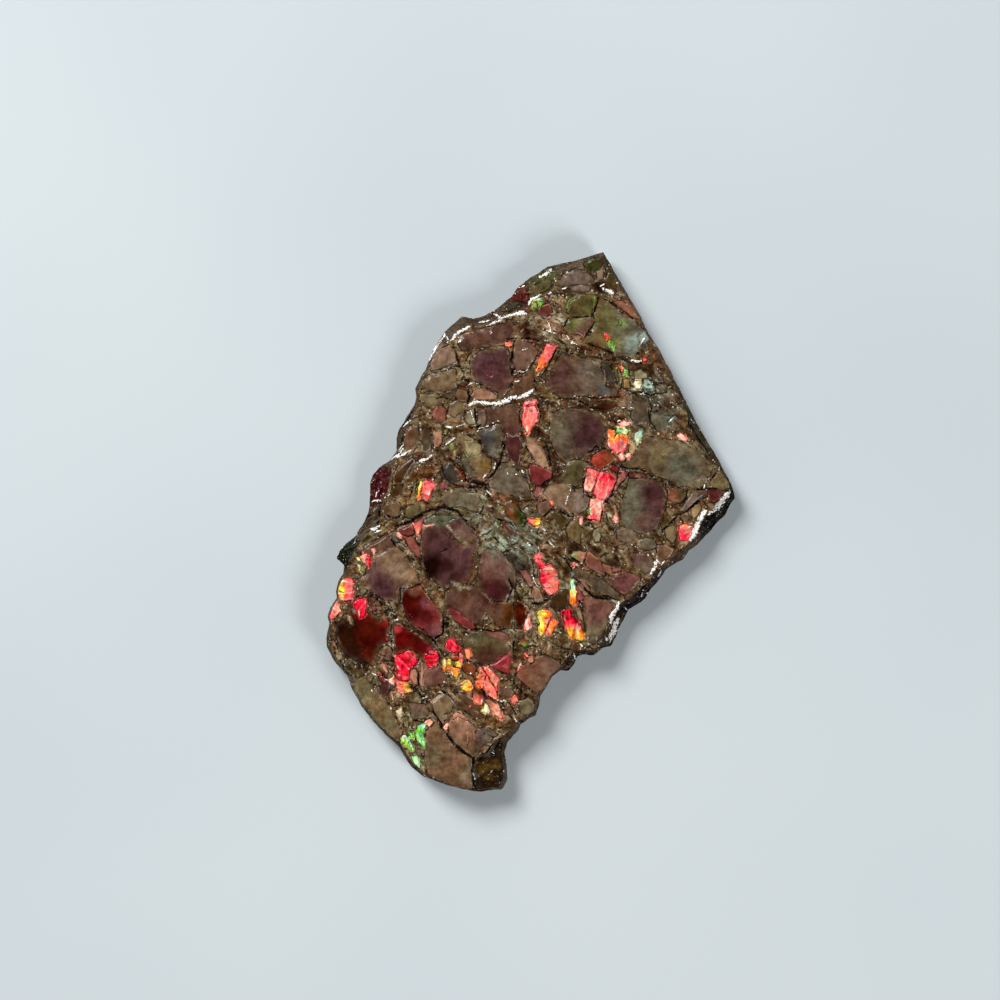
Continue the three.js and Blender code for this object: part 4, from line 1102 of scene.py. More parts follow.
def line_depth(points, lines, seed, breakup):
    """How deep each point lies in the nearest line: 1 on its middle, 0 at its side, less outside it."""
    wobble = [rough_noise(points, 0.4, seed + 5 + axis, octaves=2) - 0.5 for axis in (0, 1)]
    points = points + LINE_WOBBLE * np.stack(wobble, axis=1)
    deepest = np.full(len(points), FAR_OUT)
    for width, line in lines:
        picked = near(points, line, LINE_REACH)
        _, distance, along = to_line(points[picked], line)
        taper = 0.45 + 0.55 * np.sin(math.pi * np.clip(along, 0.02, 0.98)) ** 0.6
        ragged = 1 - breakup * rough_noise(points[picked], 0.35, seed, octaves=3)
        depth = 1 - distance / (0.5 * width * taper * ragged)
        deepest[picked] = np.maximum(deepest[picked], depth)
    return deepest


def paint_border(tablet, points, border, depth, painted):
    """Paints the points outside one tablet: how near its edge is, and its hue."""
    edge, flash, hue = painted["edge"], painted["flash"], painted["hue"]
    edge[border] = np.where(edge[border] < 0, np.maximum(edge[border], depth), edge[border])
    # Just outside a flashing tablet its hue carries on, so that its edge doesn't blend through others.
    border = border[depth > -HUE_BORDER]
    border = border[flash[border] == 0]
    _, border_flash, border_hue, _ = tablet.colours(points[border])
    hue[border] = np.where(border_flash > 0, border_hue, hue[border])


def paint_tablet(tablet, points, picked, depth, painted):
    """Paints one tablet over what lies under it, which shows through the haze at its edge."""
    spots = points[picked]
    soft = tablet.softness
    plain_colour, flash, hue, pale = tablet.colours(spots)
    plain_colour = toned(plain_colour, 0.68 + 0.6 * rough_noise(spots, cell=1.3, seed=71), TABLET_POWERS)
    ragged = HAZE_WIDTH * tablet.size * (0.35 + 1.5 * rough_noise(spots, cell=0.9, seed=73))
    haze = (0.3 + 0.7 * soft) * (1 - smoothstep(-0.02, ragged, depth))
    crushed = smoothstep(0.52, 0.7, rough_noise(spots, cell=0.7, seed=75)) * (0.25 + 0.35 * soft)
    values = {
        "tint": plain_colour + haze[:, None] * (painted["tint"][picked] - plain_colour),
        "flash": flash,
        "hue": hue,
        "pale": pale,
        "grit": np.maximum(0.06 + 0.94 * haze, crushed),
        "edge": depth,
        "flow": tablet.flow,
    }
    for name, value in values.items():
        painted[name][picked] = value


def raise_tablet(tablet, points, picked, depth, relief):
    """Raises one tablet's face, which leans and swells, from the foot of its bevel."""
    spots = points[picked]
    soft = tablet.softness
    face = (1 - 0.5 * soft) * tablet.rise + (spots - tablet.middle) @ tablet.slope
    swell = soft_noise(spots, cell=1.3, seed=81) - 0.5
    ripple = rough_noise(spots, cell=0.3, seed=82) - 0.5
    face = face + FACE_SWELL * swell + FACE_RIPPLE * ripple
    bevel = smoothstep(0, BEVEL + 0.35 * tablet.size * soft, depth)
    foot = soft * relief[picked] - (1 - soft) * GROOVE
    relief[picked] = foot + bevel * (face - foot)


def surface(points, level, covered):
    """Heights and painted values of all vertices. covered is 1 where the pearl face shows, else 0."""
    on_ledge = (level < GROUND)[:, None]
    painted = {"tint": np.where(on_ledge, edge_colours(points), ground_colours(points))}
    for name, value in START_VALUES.items():
        painted[name] = np.full(len(points), value)
    relief = chip_relief(points)
    for tablet in tablets:
        picked = near(points, tablet.outline, EDGE_REACH)
        depth = depth_inside(points[picked], tablet.outline)
        # A tablet holds the points on its own outline too.
        inside = depth > -1e-6
        paint_border(tablet, points, picked[~inside], depth[~inside], painted)
        paint_tablet(tablet, points, picked[inside], depth[inside], painted)
        raise_tablet(tablet, points, picked[inside], depth[inside], relief)
    edge = painted["edge"]
    relief = relief - GROOVE * (1 - smoothstep(0, 0.13, -edge)) * (edge < 0)

    lay_clouds(points, painted["tint"])
    lay_veins(points, painted["tint"], painted["grit"])
    painted["glint"] = line_depth(points, glints, seed=92, breakup=0.6)
    painted["crack"] = line_depth(points, cracks, seed=91, breakup=0.4)
    relief = relief - CRACK_DEPTH * smoothstep(-0.5, 0.8, painted["crack"])
    relief = relief + GLINT_RISE * smoothstep(-0.5, 0.8, painted["glint"])

    on_stone = smoothstep(0, 0.1, depth_inside(points, plan(STONE))) * (level < GROUND)
    stone_level = STONE_TOP + STONE_RELIEF * (rough_noise(points, cell=0.9, seed=61) - 0.5)
    painted["tint"] += on_stone[:, None] * (stone_colours(points) - painted["tint"])
    painted["flash"] *= 1 - on_stone
    painted["grit"] *= 1 - on_stone
    painted["stone"] = on_stone
    lobe_rise = LOBE_RISE * smoothstep(-0.02, 0.16, depth_inside(points, plan(LOBE)))
    level = level + covered * (lobe_rise + relief * (1 - on_stone))
    level = np.where((on_stone > 0) & (covered > 0), level + on_stone * (stone_level - level), level)
    return bent(points, level), painted


# ---------------------------------------------------------------- the fine mesh
def rim_loops():
    """The outline and the top layer's edge, sampled evenly all round."""
    closed = [np.vstack([loop, loop[:1]]) for loop in (rim_line(0), rim_line(1))]
    steps = np.hypot(*np.diff(closed[0] + closed[1], axis=0).T)
    length = np.concatenate([[0], np.cumsum(steps)])
    spots = np.arange(RIM_SAMPLES) / RIM_SAMPLES * length[-1]
    return [np.stack([np.interp(spots, length, axis) for axis in loop.T], axis=1) for loop in closed]


def edge_rows(outer, inner):
    """The broken edge from the top layer's lip down to the rest face: plan, level and cover of each row."""
    along = np.linspace(0, 1, RIM_SAMPLES, endpoint=False) * 2 * math.pi
    ring = RING_RADIUS * np.stack([np.cos(along), np.sin(along)], axis=1)
    steps = []
    for k in reversed(range(len(LAYER_TOPS))):
        top, reach = LAYER_TOPS[k], LAYER_SHARES[k]
        below = LAYER_TOPS[k - 1] if k else top - LOWEST_LIP
        share = np.full(RIM_SAMPLES, reach)
        if 0 < reach < 1:
            share = share + LIP_WANDER * (rough_noise(ring, 1.4, 100 + k) - 0.5)
        steps += [(share - min(out, reach), top - drop) for out, drop in LIP_ROWS]
        steps.append((share - min(FOOT_OUT, reach), below + FOOT_RISE))
        if k:
            ledge_end = LAYER_SHARES[k - 1] + 0.1
            steps.append((0.5 * (share - FOOT_OUT + ledge_end), below + 0.01))
    shares, levels = zip(*steps[1:])
    plans = [outer + np.clip(share, 0, 1)[:, None] * (inner - outer) for share in shares]
    rows = [(spots, level, 1.0) for spots, level in zip(plans, levels)]
    return rows + [(drawn_in(outer, inset), level, 0.0) for inset, level in WALL_ROWS]


def lattice(outline, spacing):
    """A slightly shaken triangular lattice over an outline's box."""
    low, high = outline.min(0), outline.max(0)
    row_gap = math.sqrt(3) / 2
    columns, rows = ((high - low) / (spacing, spacing * row_gap)).astype(int) + 2
    ix, iy = (grid.ravel() for grid in np.meshgrid(np.arange(columns), np.arange(rows)))
    shake = LATTICE_SHAKE * np.stack([hashed(ix, iy, 1) - 0.5, hashed(ix, iy, 2) - 0.5], axis=1)
    spots = np.stack([ix + 0.5 * (iy % 2), iy * row_gap], axis=1)
    return low + spacing * (spots + shake)


def tablet_points():
    """Points along every tablet's outline and along the top of its bevel."""
    found = []
    for tablet in tablets:
        spots, inward = evenly_along(tablet.outline, EDGE_SPACING)
        upper = spots + BEVEL * inward
        found += [spots, upper[depth_inside(upper, tablet.outline) > 0.85 * BEVEL]]
    return np.concatenate(found)


def line_points():
    """Points along every glint and crack."""
    found = []
    for _, line in glints + cracks:
        # The closed line's last side, from its end back to its start, is left out.
        spots, _ = evenly_along(line, EDGE_SPACING)
        back = max(1, math.ceil(np.hypot(*(line[-1] - line[0])) / EDGE_SPACING))
        found += [spots[: len(spots) - back], line[-1:]]
    return np.concatenate(found)


def thinned(points):
    """The points, less those that share a small cell with an earlier one."""
    cells = np.floor(points / LEAST_APART).astype(int)
    _, first = np.unique(cells, axis=0, return_index=True)
    return points[np.sort(first)]


def top_points():
    """The pearl face's points: lines, then tablet edges, then the lattice where it keeps clear of them."""
    grid = lattice(rim_line(0), LATTICE)
    clear = np.ones(len(grid), bool)
    for _, line in glints + cracks:
        picked = near(grid, line, 0.1)
        clear[picked] &= to_line(grid[picked], line)[1] > LINE_CLEARANCE
    for tablet in tablets:
        picked = near(grid, tablet.outline, 0.1)
        depth = depth_inside(grid[picked], tablet.outline)
        clear[picked] &= (abs(depth) > EDGE_CLEARANCE) & (abs(depth - BEVEL) > BEVEL_CLEARANCE)
    return thinned(np.vstack([line_points(), tablet_points(), grid[clear]]))


def filled(loop, points):
    """Triangles over a closed loop and the points in it, with the loop's points numbered first."""
    points = points[depth_inside(points, loop[::ROUGH_LOOP]) > LINE_CLEARANCE]
    points = points[to_line(points, np.vstack([loop, loop[:1]]))[1] > LINE_CLEARANCE]
    corners = np.vstack([loop, points])
    ring = [(i, (i + 1) % len(loop)) for i in range(len(loop))]
    found, _, faces, *_ = delaunay_2d_cdt([Vector(corner) for corner in corners], ring, [], 1, 1e-9, False)
    if len(found) != len(corners):
        raise RuntimeError("the triangulation added or dropped points")
    faces = np.array(faces)
    # The triangles that close the loop's bays join three of its own points, and are left out.
    bays = np.flatnonzero((faces < len(loop)).all(1))
    bays = bays[depth_inside(corners[faces[bays]].mean(1), loop) < 0]
    return points, np.delete(faces, bays, axis=0)


def facing_up(points, faces):
    """Triangles turned to run anticlockwise seen from above."""
    a, b, c = (points[faces[:, k]] for k in range(3))
    down = crossed(b - a, c - a) < 0
    faces = faces.copy()
    faces[down] = faces[down][:, ::-1]
    return faces


def strip_faces(upper, lower):
    """Triangles between two rings. The rings run clockwise seen from above."""
    upper_next, lower_next = np.roll(upper, -1), np.roll(lower, -1)
    first = np.stack([upper, upper_next, lower], axis=1)
    second = np.stack([upper_next, lower_next, lower], axis=1)
    return np.vstack([first, second])


def back_heights(back, rest_loop):
    """The shale back's shallow hollows, which keep clear of its border."""
    inland = smoothstep(0, 1.2, depth_inside(back, rest_loop[::ROUGH_LOOP]))
    hollow = BACK_HOLLOW * rough_noise(back, cell=1.8, seed=121) * inland
    return hollow * (rough_noise(back, cell=0.7, seed=122) > 0.42)


def layered(points, height):
    """The way that each point of the wall moves out, so that its thin layers show."""
    strata = np.stack([height * 4, points @ (1.0, 0.6)], axis=1)
    lamina = LAMINA * (rough_noise(strata, cell=1.0, seed=131, octaves=3) - 0.5)
    return lamina[:, None] * (points - drawn_in(points, 1.0))


def build_fragment():
    """The whole fragment as one closed mesh, with its painted values as vertex attributes."""
    outer, inner = rim_loops()
    top, top_faces = filled(inner, top_points())
    rows = edge_rows(outer, inner)
    rest_loop = rows[-1][0]
    back, back_faces = filled(rest_loop, lattice(rest_loop, BACK_LATTICE))

    groups = [(inner, GROUND, 1.0), (top, GROUND, 1.0), *rows, (back, 0.0, 0.0)]
    points = np.vstack([spots for spots, _, _ in groups])
    level = np.concatenate([np.full(len(spots), value) for spots, value, _ in groups])
    covered = np.concatenate([np.full(len(spots), value) for spots, _, value in groups])
    first_row = len(inner) + len(top)
    first_back = first_row + RIM_SAMPLES * len(rows)

    height, painted = surface(points, level, covered)
    height[first_back:] = back_heights(back, rest_loop)
    # The wall is what isn't covered and isn't at the rest face's level, as the back and the last row are.
    on_wall = (covered == 0) & (level > 0)
    spots = points + warp(points) + on_wall[:, None] * layered(points, height)

    rings = [np.arange(RIM_SAMPLES)]
    rings += [first_row + RIM_SAMPLES * k + np.arange(RIM_SAMPLES) for k in range(len(rows))]
    strips = [strip_faces(upper, lower) for upper, lower in zip(rings, rings[1:])]
    # The back's triangles number the rest loop first, then the back's own points.
    back_numbers = np.concatenate([rings[-1], np.arange(first_back, len(points))])
    back_faces = back_numbers[back_faces][:, ::-1]
    parts = [(facing_up(points, top_faces), PEARL)]
    parts += [(strip, LEDGE if cover else WALL) for strip, (_, _, cover) in zip(strips, rows)]
    parts.append((back_faces, BACK))
    faces = np.vstack([part for part, _ in parts])
    kinds = np.concatenate([np.full(len(part), kind) for part, kind in parts])
    return np.column_stack([spots, height]), faces, kinds, painted


def as_object(name, vertices, faces, kinds, painted, materials):
    """A smooth object with sharp creases, from vertices in mm, triangles and painted values."""
    mesh = bpy.data.meshes.new(name)
    mesh.vertices.add(len(vertices))
    mesh.vertices.foreach_set("co", (vertices * MM).ravel())
    mesh.loops.add(faces.size)
    mesh.loops.foreach_set("vertex_index", faces.ravel())
    mesh.polygons.add(len(faces))
    mesh.polygons.foreach_set("loop_start", np.arange(0, faces.size, 3))
    mesh.polygons.foreach_set("material_index", kinds)
    for title, values in painted.items():
        if values.ndim == 2:
            colours = np.column_stack([values, np.ones(len(values))])
            mesh.attributes.new(title, "FLOAT_COLOR", "POINT").data.foreach_set("color", colours.ravel())
        else:
            mesh.attributes.new(title, "FLOAT", "POINT").data.foreach_set("value", values)
    mesh.update(calc_edges=True)
    mesh.validate()
    mesh.shade_smooth()
    mesh.set_sharp_from_angle(angle=CREASE)
    for material in materials:
        mesh.materials.append(material)
    return in_scene(bpy.data.objects.new(name, mesh))


def in_scene(made):
    """The object, once it is linked to the scene."""
    bpy.context.scene.collection.objects.link(made)
    return made


# ---------------------------------------------------------------- materials
def rgba(rgb):
    """An sRGB colour out of 255, as a colour socket takes it."""
    return (*linear(rgb), 1)


class Graph:
    """A material's node tree, with short ways to add the nodes used here."""

    def __init__(self, name):
        self.material = bpy.data.materials.new(name)
        self.material.use_nodes = True
        self.nodes = self.material.node_tree.nodes
        self.links = self.material.node_tree.links

    def set(self, socket, value):
        """Links an output to the socket, or gives it a constant."""
        if isinstance(value, bpy.types.NodeSocket):
            self.links.new(value, socket)
        else:
            socket.default_value = value

    def shaded(self, values):
        """The material, with these values or outputs on its shader's sockets."""
        for socket, value in values.items():
            self.set(self.nodes["Principled BSDF"].inputs[socket], value)
        return self.material

    def node(self, kind, inputs=(), **settings):
        made = self.nodes.new(kind)
        for title, value in settings.items():
            setattr(made, title, value)
        for socket, value in dict(inputs).items():
            self.set(made.inputs[socket], value)
        return made

    def attribute(self, name):
        made = self.node("ShaderNodeAttribute", attribute_name=name)
        return made.outputs["Color"] if name == "tint" else made.outputs["Fac"]

    def math(self, operation, a, b=0.0, clamp=False):
        return self.node("ShaderNodeMath", {0: a, 1: b}, operation=operation, use_clamp=clamp).outputs[0]

    def times(self, a, b):
        return self.math("MULTIPLY", a, b)

    def vector(self, operation, inputs, output=0):
        return self.node("ShaderNodeVectorMath", inputs, operation=operation).outputs[output]

    def axes(self, place):
        return self.node("ShaderNodeSeparateXYZ", {0: place}).outputs

    def between(self, value, low, high, to_low=0.0, to_high=1.0):
        """The value's eased share of the way from low to high, as a number from to_low to to_high."""
        inputs = {"Value": value, "From Min": low, "From Max": high, "To Min": to_low, "To Max": to_high}
        return self.node("ShaderNodeMapRange", inputs, interpolation_type="SMOOTHSTEP").outputs["Result"]

    def mix(self, share, a, b, blend="MIX"):
        made = self.node("ShaderNodeMix", data_type="RGBA", blend_type=blend)
        for socket, value in {"Factor": share, "A": a, "B": b}.items():
            self.set(made.inputs[socket], value)
        return made.outputs["Result"]

    def filtered(self, colour, change):
        """The colour times another."""
        return self.mix(1.0, colour, change, "MULTIPLY")

    def laid(self, colour, rgb, share, most=None):
        """The colour with another laid over it by a share, or by this part of the share."""
        return self.mix(share if most is None else self.times(share, most), colour, rgba(rgb))

    def millimetres(self, stretch=(1, 1, 1), turn=None):
        """Object coordinates in mm, turned by an angle and then stretched."""
        place = self.node("ShaderNodeTexCoord").outputs["Object"]
        if turn is not None:
            inputs = {"Vector": place, "Angle": turn}
            place = self.node("ShaderNodeVectorRotate", inputs, rotation_type="Z_AXIS").outputs[0]
        return self.vector("MULTIPLY", {0: place, 1: tuple(share / MM for share in stretch)})

    def whorled(self, stretch):
        """Distance from the whorl's middle and way round it, in mm: grain in these runs round the middle."""
        away = self.vector("SUBTRACT", {0: self.millimetres(), 1: (*on_plan(WHORL_MIDDLE), 0.0)})
        axes = self.axes(away)
        flat = self.vector("MULTIPLY", {0: away, 1: (1.0, 1.0, 0.0)})
        distance = self.vector("LENGTH", {0: flat}, output="Value")
        angle = self.math("ARCTAN2", axes["Y"], axes["X"])
        place = {"X": distance, "Y": self.times(angle, stretch), "Z": axes["Z"]}
        return self.node("ShaderNodeCombineXYZ", place).outputs[0]

    def noise(self, place, cell, detail=3.0, roughness=0.55):
        """Noise from about 0.3 to 0.7, with bumps about one cell (mm) wide."""
        inputs = {"Vector": place, "Scale": 1 / cell, "Detail": detail, "Roughness": roughness}
        return self.node("ShaderNodeTexNoise", inputs).outputs["Fac"]

    def spread(self, noise, least, most):
        """Noise that runs from least to most."""
        return self.between(noise, *NOISE_RANGE, least, most)

    def patches(self, place, cell, start, full, least=0.0, most=1.0, detail=3.0, roughness=0.55):
        """Patches of noise: least where it is before start, and most where it is beyond full."""
        return self.between(self.noise(place, cell, detail, roughness), start, full, least, most)

    def shaken(self, place, cell, reach):
        """The place pushed about by noise, for lines that aren't straight."""
        noise = self.node("ShaderNodeTexNoise", {"Vector": place, "Scale": 1 / cell, "Detail": 2.0})
        push = self.vector("SUBTRACT", {0: noise.outputs["Color"], 1: (0.5, 0.5, 0.5)})
        push = self.vector("SCALE", {0: push, "Scale": 2 * reach})
        return self.vector("ADD", {0: place, 1: push})

    def cells(self, place, cell, feature="DISTANCE_TO_EDGE", output="Distance"):
        """Chips about one cell (mm) wide: how far each place is from its chip's edge."""
        inputs = {"Vector": place, "Scale": 1 / cell}
        return self.node("ShaderNodeTexVoronoi", inputs, feature=feature).outputs[output]

    def cell_number(self, place, cell):
        """An even number from 0 to 1 for each chip."""
        colour = self.cells(place, cell, "F1", "Color")
        return self.node("ShaderNodeSeparateColor", {0: colour}).outputs[0]

    def varied(self, colour, noise, least, most, powers=TABLET_POWERS):
        """The colour made darker and lighter by noise: darker parts redder too, and lighter ones greyer."""
        change = self.spread(noise, least, most)
        channels = {axis: self.math("POWER", change, power) for axis, power in zip("XYZ", powers)}
        return self.filtered(colour, self.node("ShaderNodeCombineXYZ", channels).outputs[0])

    def ramp(self, value, stops):
        made = self.node("ShaderNodeValToRGB", {"Fac": value})
        elements = made.color_ramp.elements
        while len(elements) < len(stops):
            elements.new(0.5)
        for element, (position, rgb) in zip(elements, stops.items()):
            element.position = position
            element.color = rgba(rgb)
        return made.outputs["Color"]

    def bump(self, height, depth_mm):
        inputs = {"Height": height, "Strength": 1.0, "Distance": depth_mm * MM}
        return self.node("ShaderNodeBump", inputs).outputs["Normal"]


def crushed_shell(g, place, tint):
    """The colour of the shell between the tablets, and how gritty it is.

    It is hazy chips with crumbs in their joints, streaked and chipped round the whorl's middle.
    """
    shaken = g.shaken(g.whorled(stretch=7.0), cell=0.5, reach=0.18)
    depth = g.cells(shaken, CHIP_CELL)
    chip_tone = g.ramp(g.cell_number(shaken, CHIP_CELL), CHIP_SHADES)
    tone = g.mix(g.between(depth, 0.2, 0.03, 0.0, 0.8), chip_tone, rgba(CHIP_HAZE))
    crumb_tone = g.ramp(g.cell_number(shaken, CRUMB_CELL), CHIP_SHADES)
    gritty = g.math("MAXIMUM", g.between(depth, 0.16, 0.04), g.patches(place, 1.3, 0.54, 0.62, detail=2))
    gritty = g.times(gritty, g.patches(place, 0.5, 0.4, 0.58, least=0.1))
    tone = g.mix(g.times(gritty, 0.6), tone, crumb_tone)
    shell = g.filtered(g.filtered(tint, tone), (*SHADE_GAIN, 1))
    streaked = g.shaken(g.whorled(stretch=2.6), cell=0.6, reach=0.1)
    shell = g.varied(shell, g.noise(streaked, 0.26, detail=5, roughness=0.66), 0.5, 1.5, SHELL_POWERS)
    shell = g.varied(shell, g.noise(place, 0.7, detail=6, roughness=0.66), 0.26, 1.64, SHELL_POWERS)
    shell = g.varied(shell, g.noise(place, 0.11, detail=2), 0.8, 1.2, SHELL_POWERS)
    stain = g.patches(place, 0.9, 0.55, 0.64, detail=5, roughness=0.62)
    shell = g.mix(g.times(stain, 0.55), shell, g.filtered(shell, (*STAIN_GAIN, 1)))

    joint = g.times(g.between(depth, 0.06, 0.02), g.patches(place, 0.7, 0.49, 0.57))
    shell = g.laid(shell, JOINT_BROWN, joint, 0.9)
    pits = g.patches(place, 0.34, 0.42, 0.37, detail=5, roughness=0.66)
    shell = g.laid(shell, PIT_BROWN, pits, 0.92)
    # Pale specks: partly crumbs and partly painted highlights, mostly where the shell is gritty.
    specks_and_glints = g.times(g.patches(place, 0.17, 0.61, 0.67, detail=2), g.between(gritty, 0.2, 0.8))
    specks_and_glints = g.times(specks_and_glints, g.between(g.attribute("grit"), 0.45, 0.9, 0.0, 0.75))
    return g.laid(shell, SPECK_AND_GLINT_GREY, specks_and_glints), gritty


def plain_pearl(g, place, tint, edge):
    """The colour of a plain tablet: cloudy and streaked, with a pale line, a painted highlight, along parts
    of its edge.
    """
    plain = g.varied(tint, g.noise(place, 0.6, detail=6, roughness=0.62), 0.54, 1.4)
    along = g.millimetres((0.2, 1.0, 1.0), turn=g.times(g.attribute("flow"), -1.0))
    plain = g.varied(plain, g.noise(along, 0.16, detail=4, roughness=0.7), 0.85, 1.16)
    # A pale line just inside the edge: a painted highlight.
    line = g.times(g.between(edge, 0.14, 0.08), g.patches(place, 0.8, 0.54, 0.62))
    return g.laid(plain, EDGE_HIGHLIGHT_LINE, line, 0.45)


def pearl_fire(g, place, edge):
    """The colour of a flashing tablet: streaks and facets of near hues, with painted highlights that pale it
    in places, most near its edge.
    """
    turn = g.times(g.attribute("flow"), -1.0)
    turned = g.millimetres((0.24, 1.0, 1.0), turn)
    streaks = g.spread(g.noise(turned, 0.16), -0.07, 0.07)
    mottling = g.spread(g.noise(place, 0.5, detail=2), -0.08, 0.08)
    hue = g.math("ADD", g.attribute("hue"), g.math("ADD", streaks, mottling), clamp=True)
    fire = g.ramp(hue, FLASH_RAMP)
    fire = g.varied(fire, g.noise(place, 0.45, detail=4), 0.5, 1.5)
    fire = g.varied(fire, g.noise(turned, 0.13, roughness=0.65), 0.6, 1.46)
    fire = g.filtered(fire, g.between(g.cell_number(turned, 0.36), 0.0, 1.0, 0.74, 1.12))
    split = g.between(g.cells(turned, 0.5), 0.06, 0.01)
    split = g.times(split, g.patches(place, 0.4, 0.5, 0.58, most=0.85, detail=2))
    fire = g.laid(fire, SPLIT_RED, split)

    # Painted highlights pale it in streaks, most of all near its edge.
    streak = g.patches(g.millimetres((0.3, 1.0, 1.0), turn), 0.24, 0.52, 0.64, detail=4, roughness=0.7)
    highlight_edge = g.between(edge, 0.26, 0.06, 0.35, 1.0)
    highlight_streak = g.times(g.times(streak, highlight_edge), g.between(hue, 0.16, 0.4, 0.25, 0.9))
    highlight_patches = g.times(g.attribute("pale"), g.patches(place, 0.28, 0.36, 0.62, least=0.2, most=1.6))
    return g.laid(fire, FIRE_HIGHLIGHT, g.math("MAXIMUM", highlight_streak, highlight_patches))


def lined(g, place, colour):
    """The colour with its dark cracks, whose black is partly painted shade, and its white broken ledges,
    whose white is partly painted highlight; both ragged and here and there faint.
    """
    ragged = g.spread(g.noise(place, 0.13), -0.7, 0.7)
    faint = g.patches(place, 0.5, 0.32, 0.5, least=0.35, most=0.97, detail=2)
    # The cracks' black: partly their dark fill, partly painted shade in the gap.
    crack = g.between(g.math("ADD", g.attribute("crack"), ragged), -0.35, 0.25)
    colour = g.laid(colour, CRACK_AND_SHADE_BLACK, g.times(crack, faint))
    # The ledges' white, partly painted highlight, shows only where they lie flat, not down the broken side.
    facing = g.node("ShaderNodeNewGeometry").outputs["Normal"]
    flat = g.between(g.axes(facing)["Z"], 0.15, 0.4)
    glint = g.times(g.between(g.math("ADD", g.attribute("glint"), ragged), -0.02, 0.24), flat)
    white = g.mix(g.patches(place, 0.1, 0.34, 0.43, detail=2), rgba(GLINT_GREY), rgba(GLINT_WHITE))
    return g.mix(glint, colour, white)


def pearl_mosaic():
    """The pearl face: hazy plain tablets, flashing tablets and the crushed shell between them."""
    g = Graph("pearl_mosaic")
    place = g.millimetres()
    tint, grit, edge = (g.attribute(name) for name in ("tint", "grit", "edge"))
    shell, gritty = crushed_shell(g, place, tint)
    colour = g.mix(grit, plain_pearl(g, place, tint, edge), shell)
    colour = g.mix(g.attribute("flash"), colour, pearl_fire(g, place, edge))
    # A dark rim round the edge: painted shade in the crevice between a tablet and the shell.
    rim_shade = g.times(g.between(edge, -0.09, -0.02), g.between(edge, 0.04, 0.0))
    patchy = g.patches(place, 0.5, 0.44, 0.54, most=0.9)
    colour = g.laid(colour, RIM_SHADE_BROWN, g.times(rim_shade, patchy))
    # Sparkles on the edge: painted highlights, as where wet edges catch the light.
    sparkle = g.times(g.between(edge, -0.08, -0.04), g.between(edge, 0.05, 0.01))
    sparkle = g.times(sparkle, g.patches(place, 0.3, 0.67, 0.71, detail=2))
    colour = g.laid(colour, SPARKLE_WHITE, sparkle, 0.75)

    gritty = g.times(grit, gritty)
    rough = g.between(gritty, 0.0, 1.0, 0.15, 0.34)
    rough = g.math("ADD", rough, g.spread(g.noise(place, 0.4), -0.04, 0.08))
    rough = g.math("SUBTRACT", rough, g.times(g.attribute("stone"), 0.25), clamp=True)
    grain = g.times(g.noise(place, 0.2, roughness=0.6), g.between(gritty, 0.0, 1.0, 0.1, 1.0))
    return g.shaded({
        "Base Color": lined(g, place, colour),
        "Roughness": rough,
        "IOR": 1.22,
        "Coat Weight": 0.05,
        "Coat Roughness": 0.05,
        "Normal": g.bump(grain, 0.05),
    })


def dark_ledge():
    """The stepped edge round the pearl face: dark glossy layers with white broken lines, which are partly
    painted highlights.
    """
    g = Graph("dark_ledge")
    place = g.millimetres()
    colour = g.varied(g.attribute("tint"), g.noise(place, 0.4, detail=5, roughness=0.65), 0.5, 1.5)
    colour = g.laid(colour, LEDGE_SPECK, g.patches(place, 0.16, 0.66, 0.72, detail=2))
    return g.shaded({
        "Base Color": lined(g, place, colour),
        "Roughness": g.spread(g.noise(place, 0.4), 0.2, 0.42),
        "Specular IOR Level": 0.08,
        "Normal": g.bump(g.noise(place, 0.25, detail=4, roughness=0.6), 0.06),
    })


def broken_edge():
    """The broken side: thin dark glossy layers, with a little colour where pearl shows, over dull shale."""
    g = Graph("broken_edge")
    flattened = g.millimetres((0.35, 0.35, 5.0))
    place = g.millimetres()
    layers = g.noise(flattened, 1.0, detail=4, roughness=0.6)
    height = g.math("ADD", g.axes(place)["Z"], g.noise(place, 1.5, detail=2))
    in_shale = g.between(height, 1.55, 1.3)
    colour = g.mix(in_shale, g.ramp(layers, WALL_PEARL), g.ramp(layers, WALL_SHALE))
    spark = g.patches(g.millimetres((0.8, 0.8, 3.0)), 0.8, 0.6, 0.68, detail=2)
    spark = g.times(g.times(spark, g.math("SUBTRACT", 1.0, in_shale)), 0.55)
    fire = g.ramp(g.spread(g.noise(place, 1.2, detail=2), 0.0, 1.0), FLASH_RAMP)
    return g.shaded({
        "Base Color": g.mix(spark, colour, fire),
        "Roughness": g.mix(in_shale, (0.22, 0.22, 0.22, 1), (0.62, 0.62, 0.62, 1)),
        "Coat Weight": 0.2,
        "Coat Roughness": 0.1,
        "Normal": g.bump(g.noise(flattened, 0.5, detail=5, roughness=0.65), 0.12),
    })


def shale_back():
    """The flat back: matt dark shale with fine bedding, pale grains and rusty stains."""
    g = Graph("shale_back")
    place = g.millimetres()
    tone = g.ramp(g.noise(g.millimetres((1.0, 0.4, 1.0)), 2.4, detail=6, roughness=0.6), BACK_SHALE)
    tone = g.laid(tone, RUST, g.patches(place, 3.5, 0.54, 0.7, detail=4), 0.5)
    tone = g.laid(tone, SHALE_GRAIN, g.patches(place, 0.22, 0.64, 0.7, detail=2), 0.5)
    return g.shaded({
        "Base Color": tone,
        "Roughness": g.spread(g.noise(place, 0.6), 0.62, 0.85),
        "Normal": g.bump(g.noise(place, 0.35, detail=6, roughness=0.65), 0.09),
    })


# ---------------------------------------------------------------- the piece
vertices, faces, kinds, painted = build_fragment()
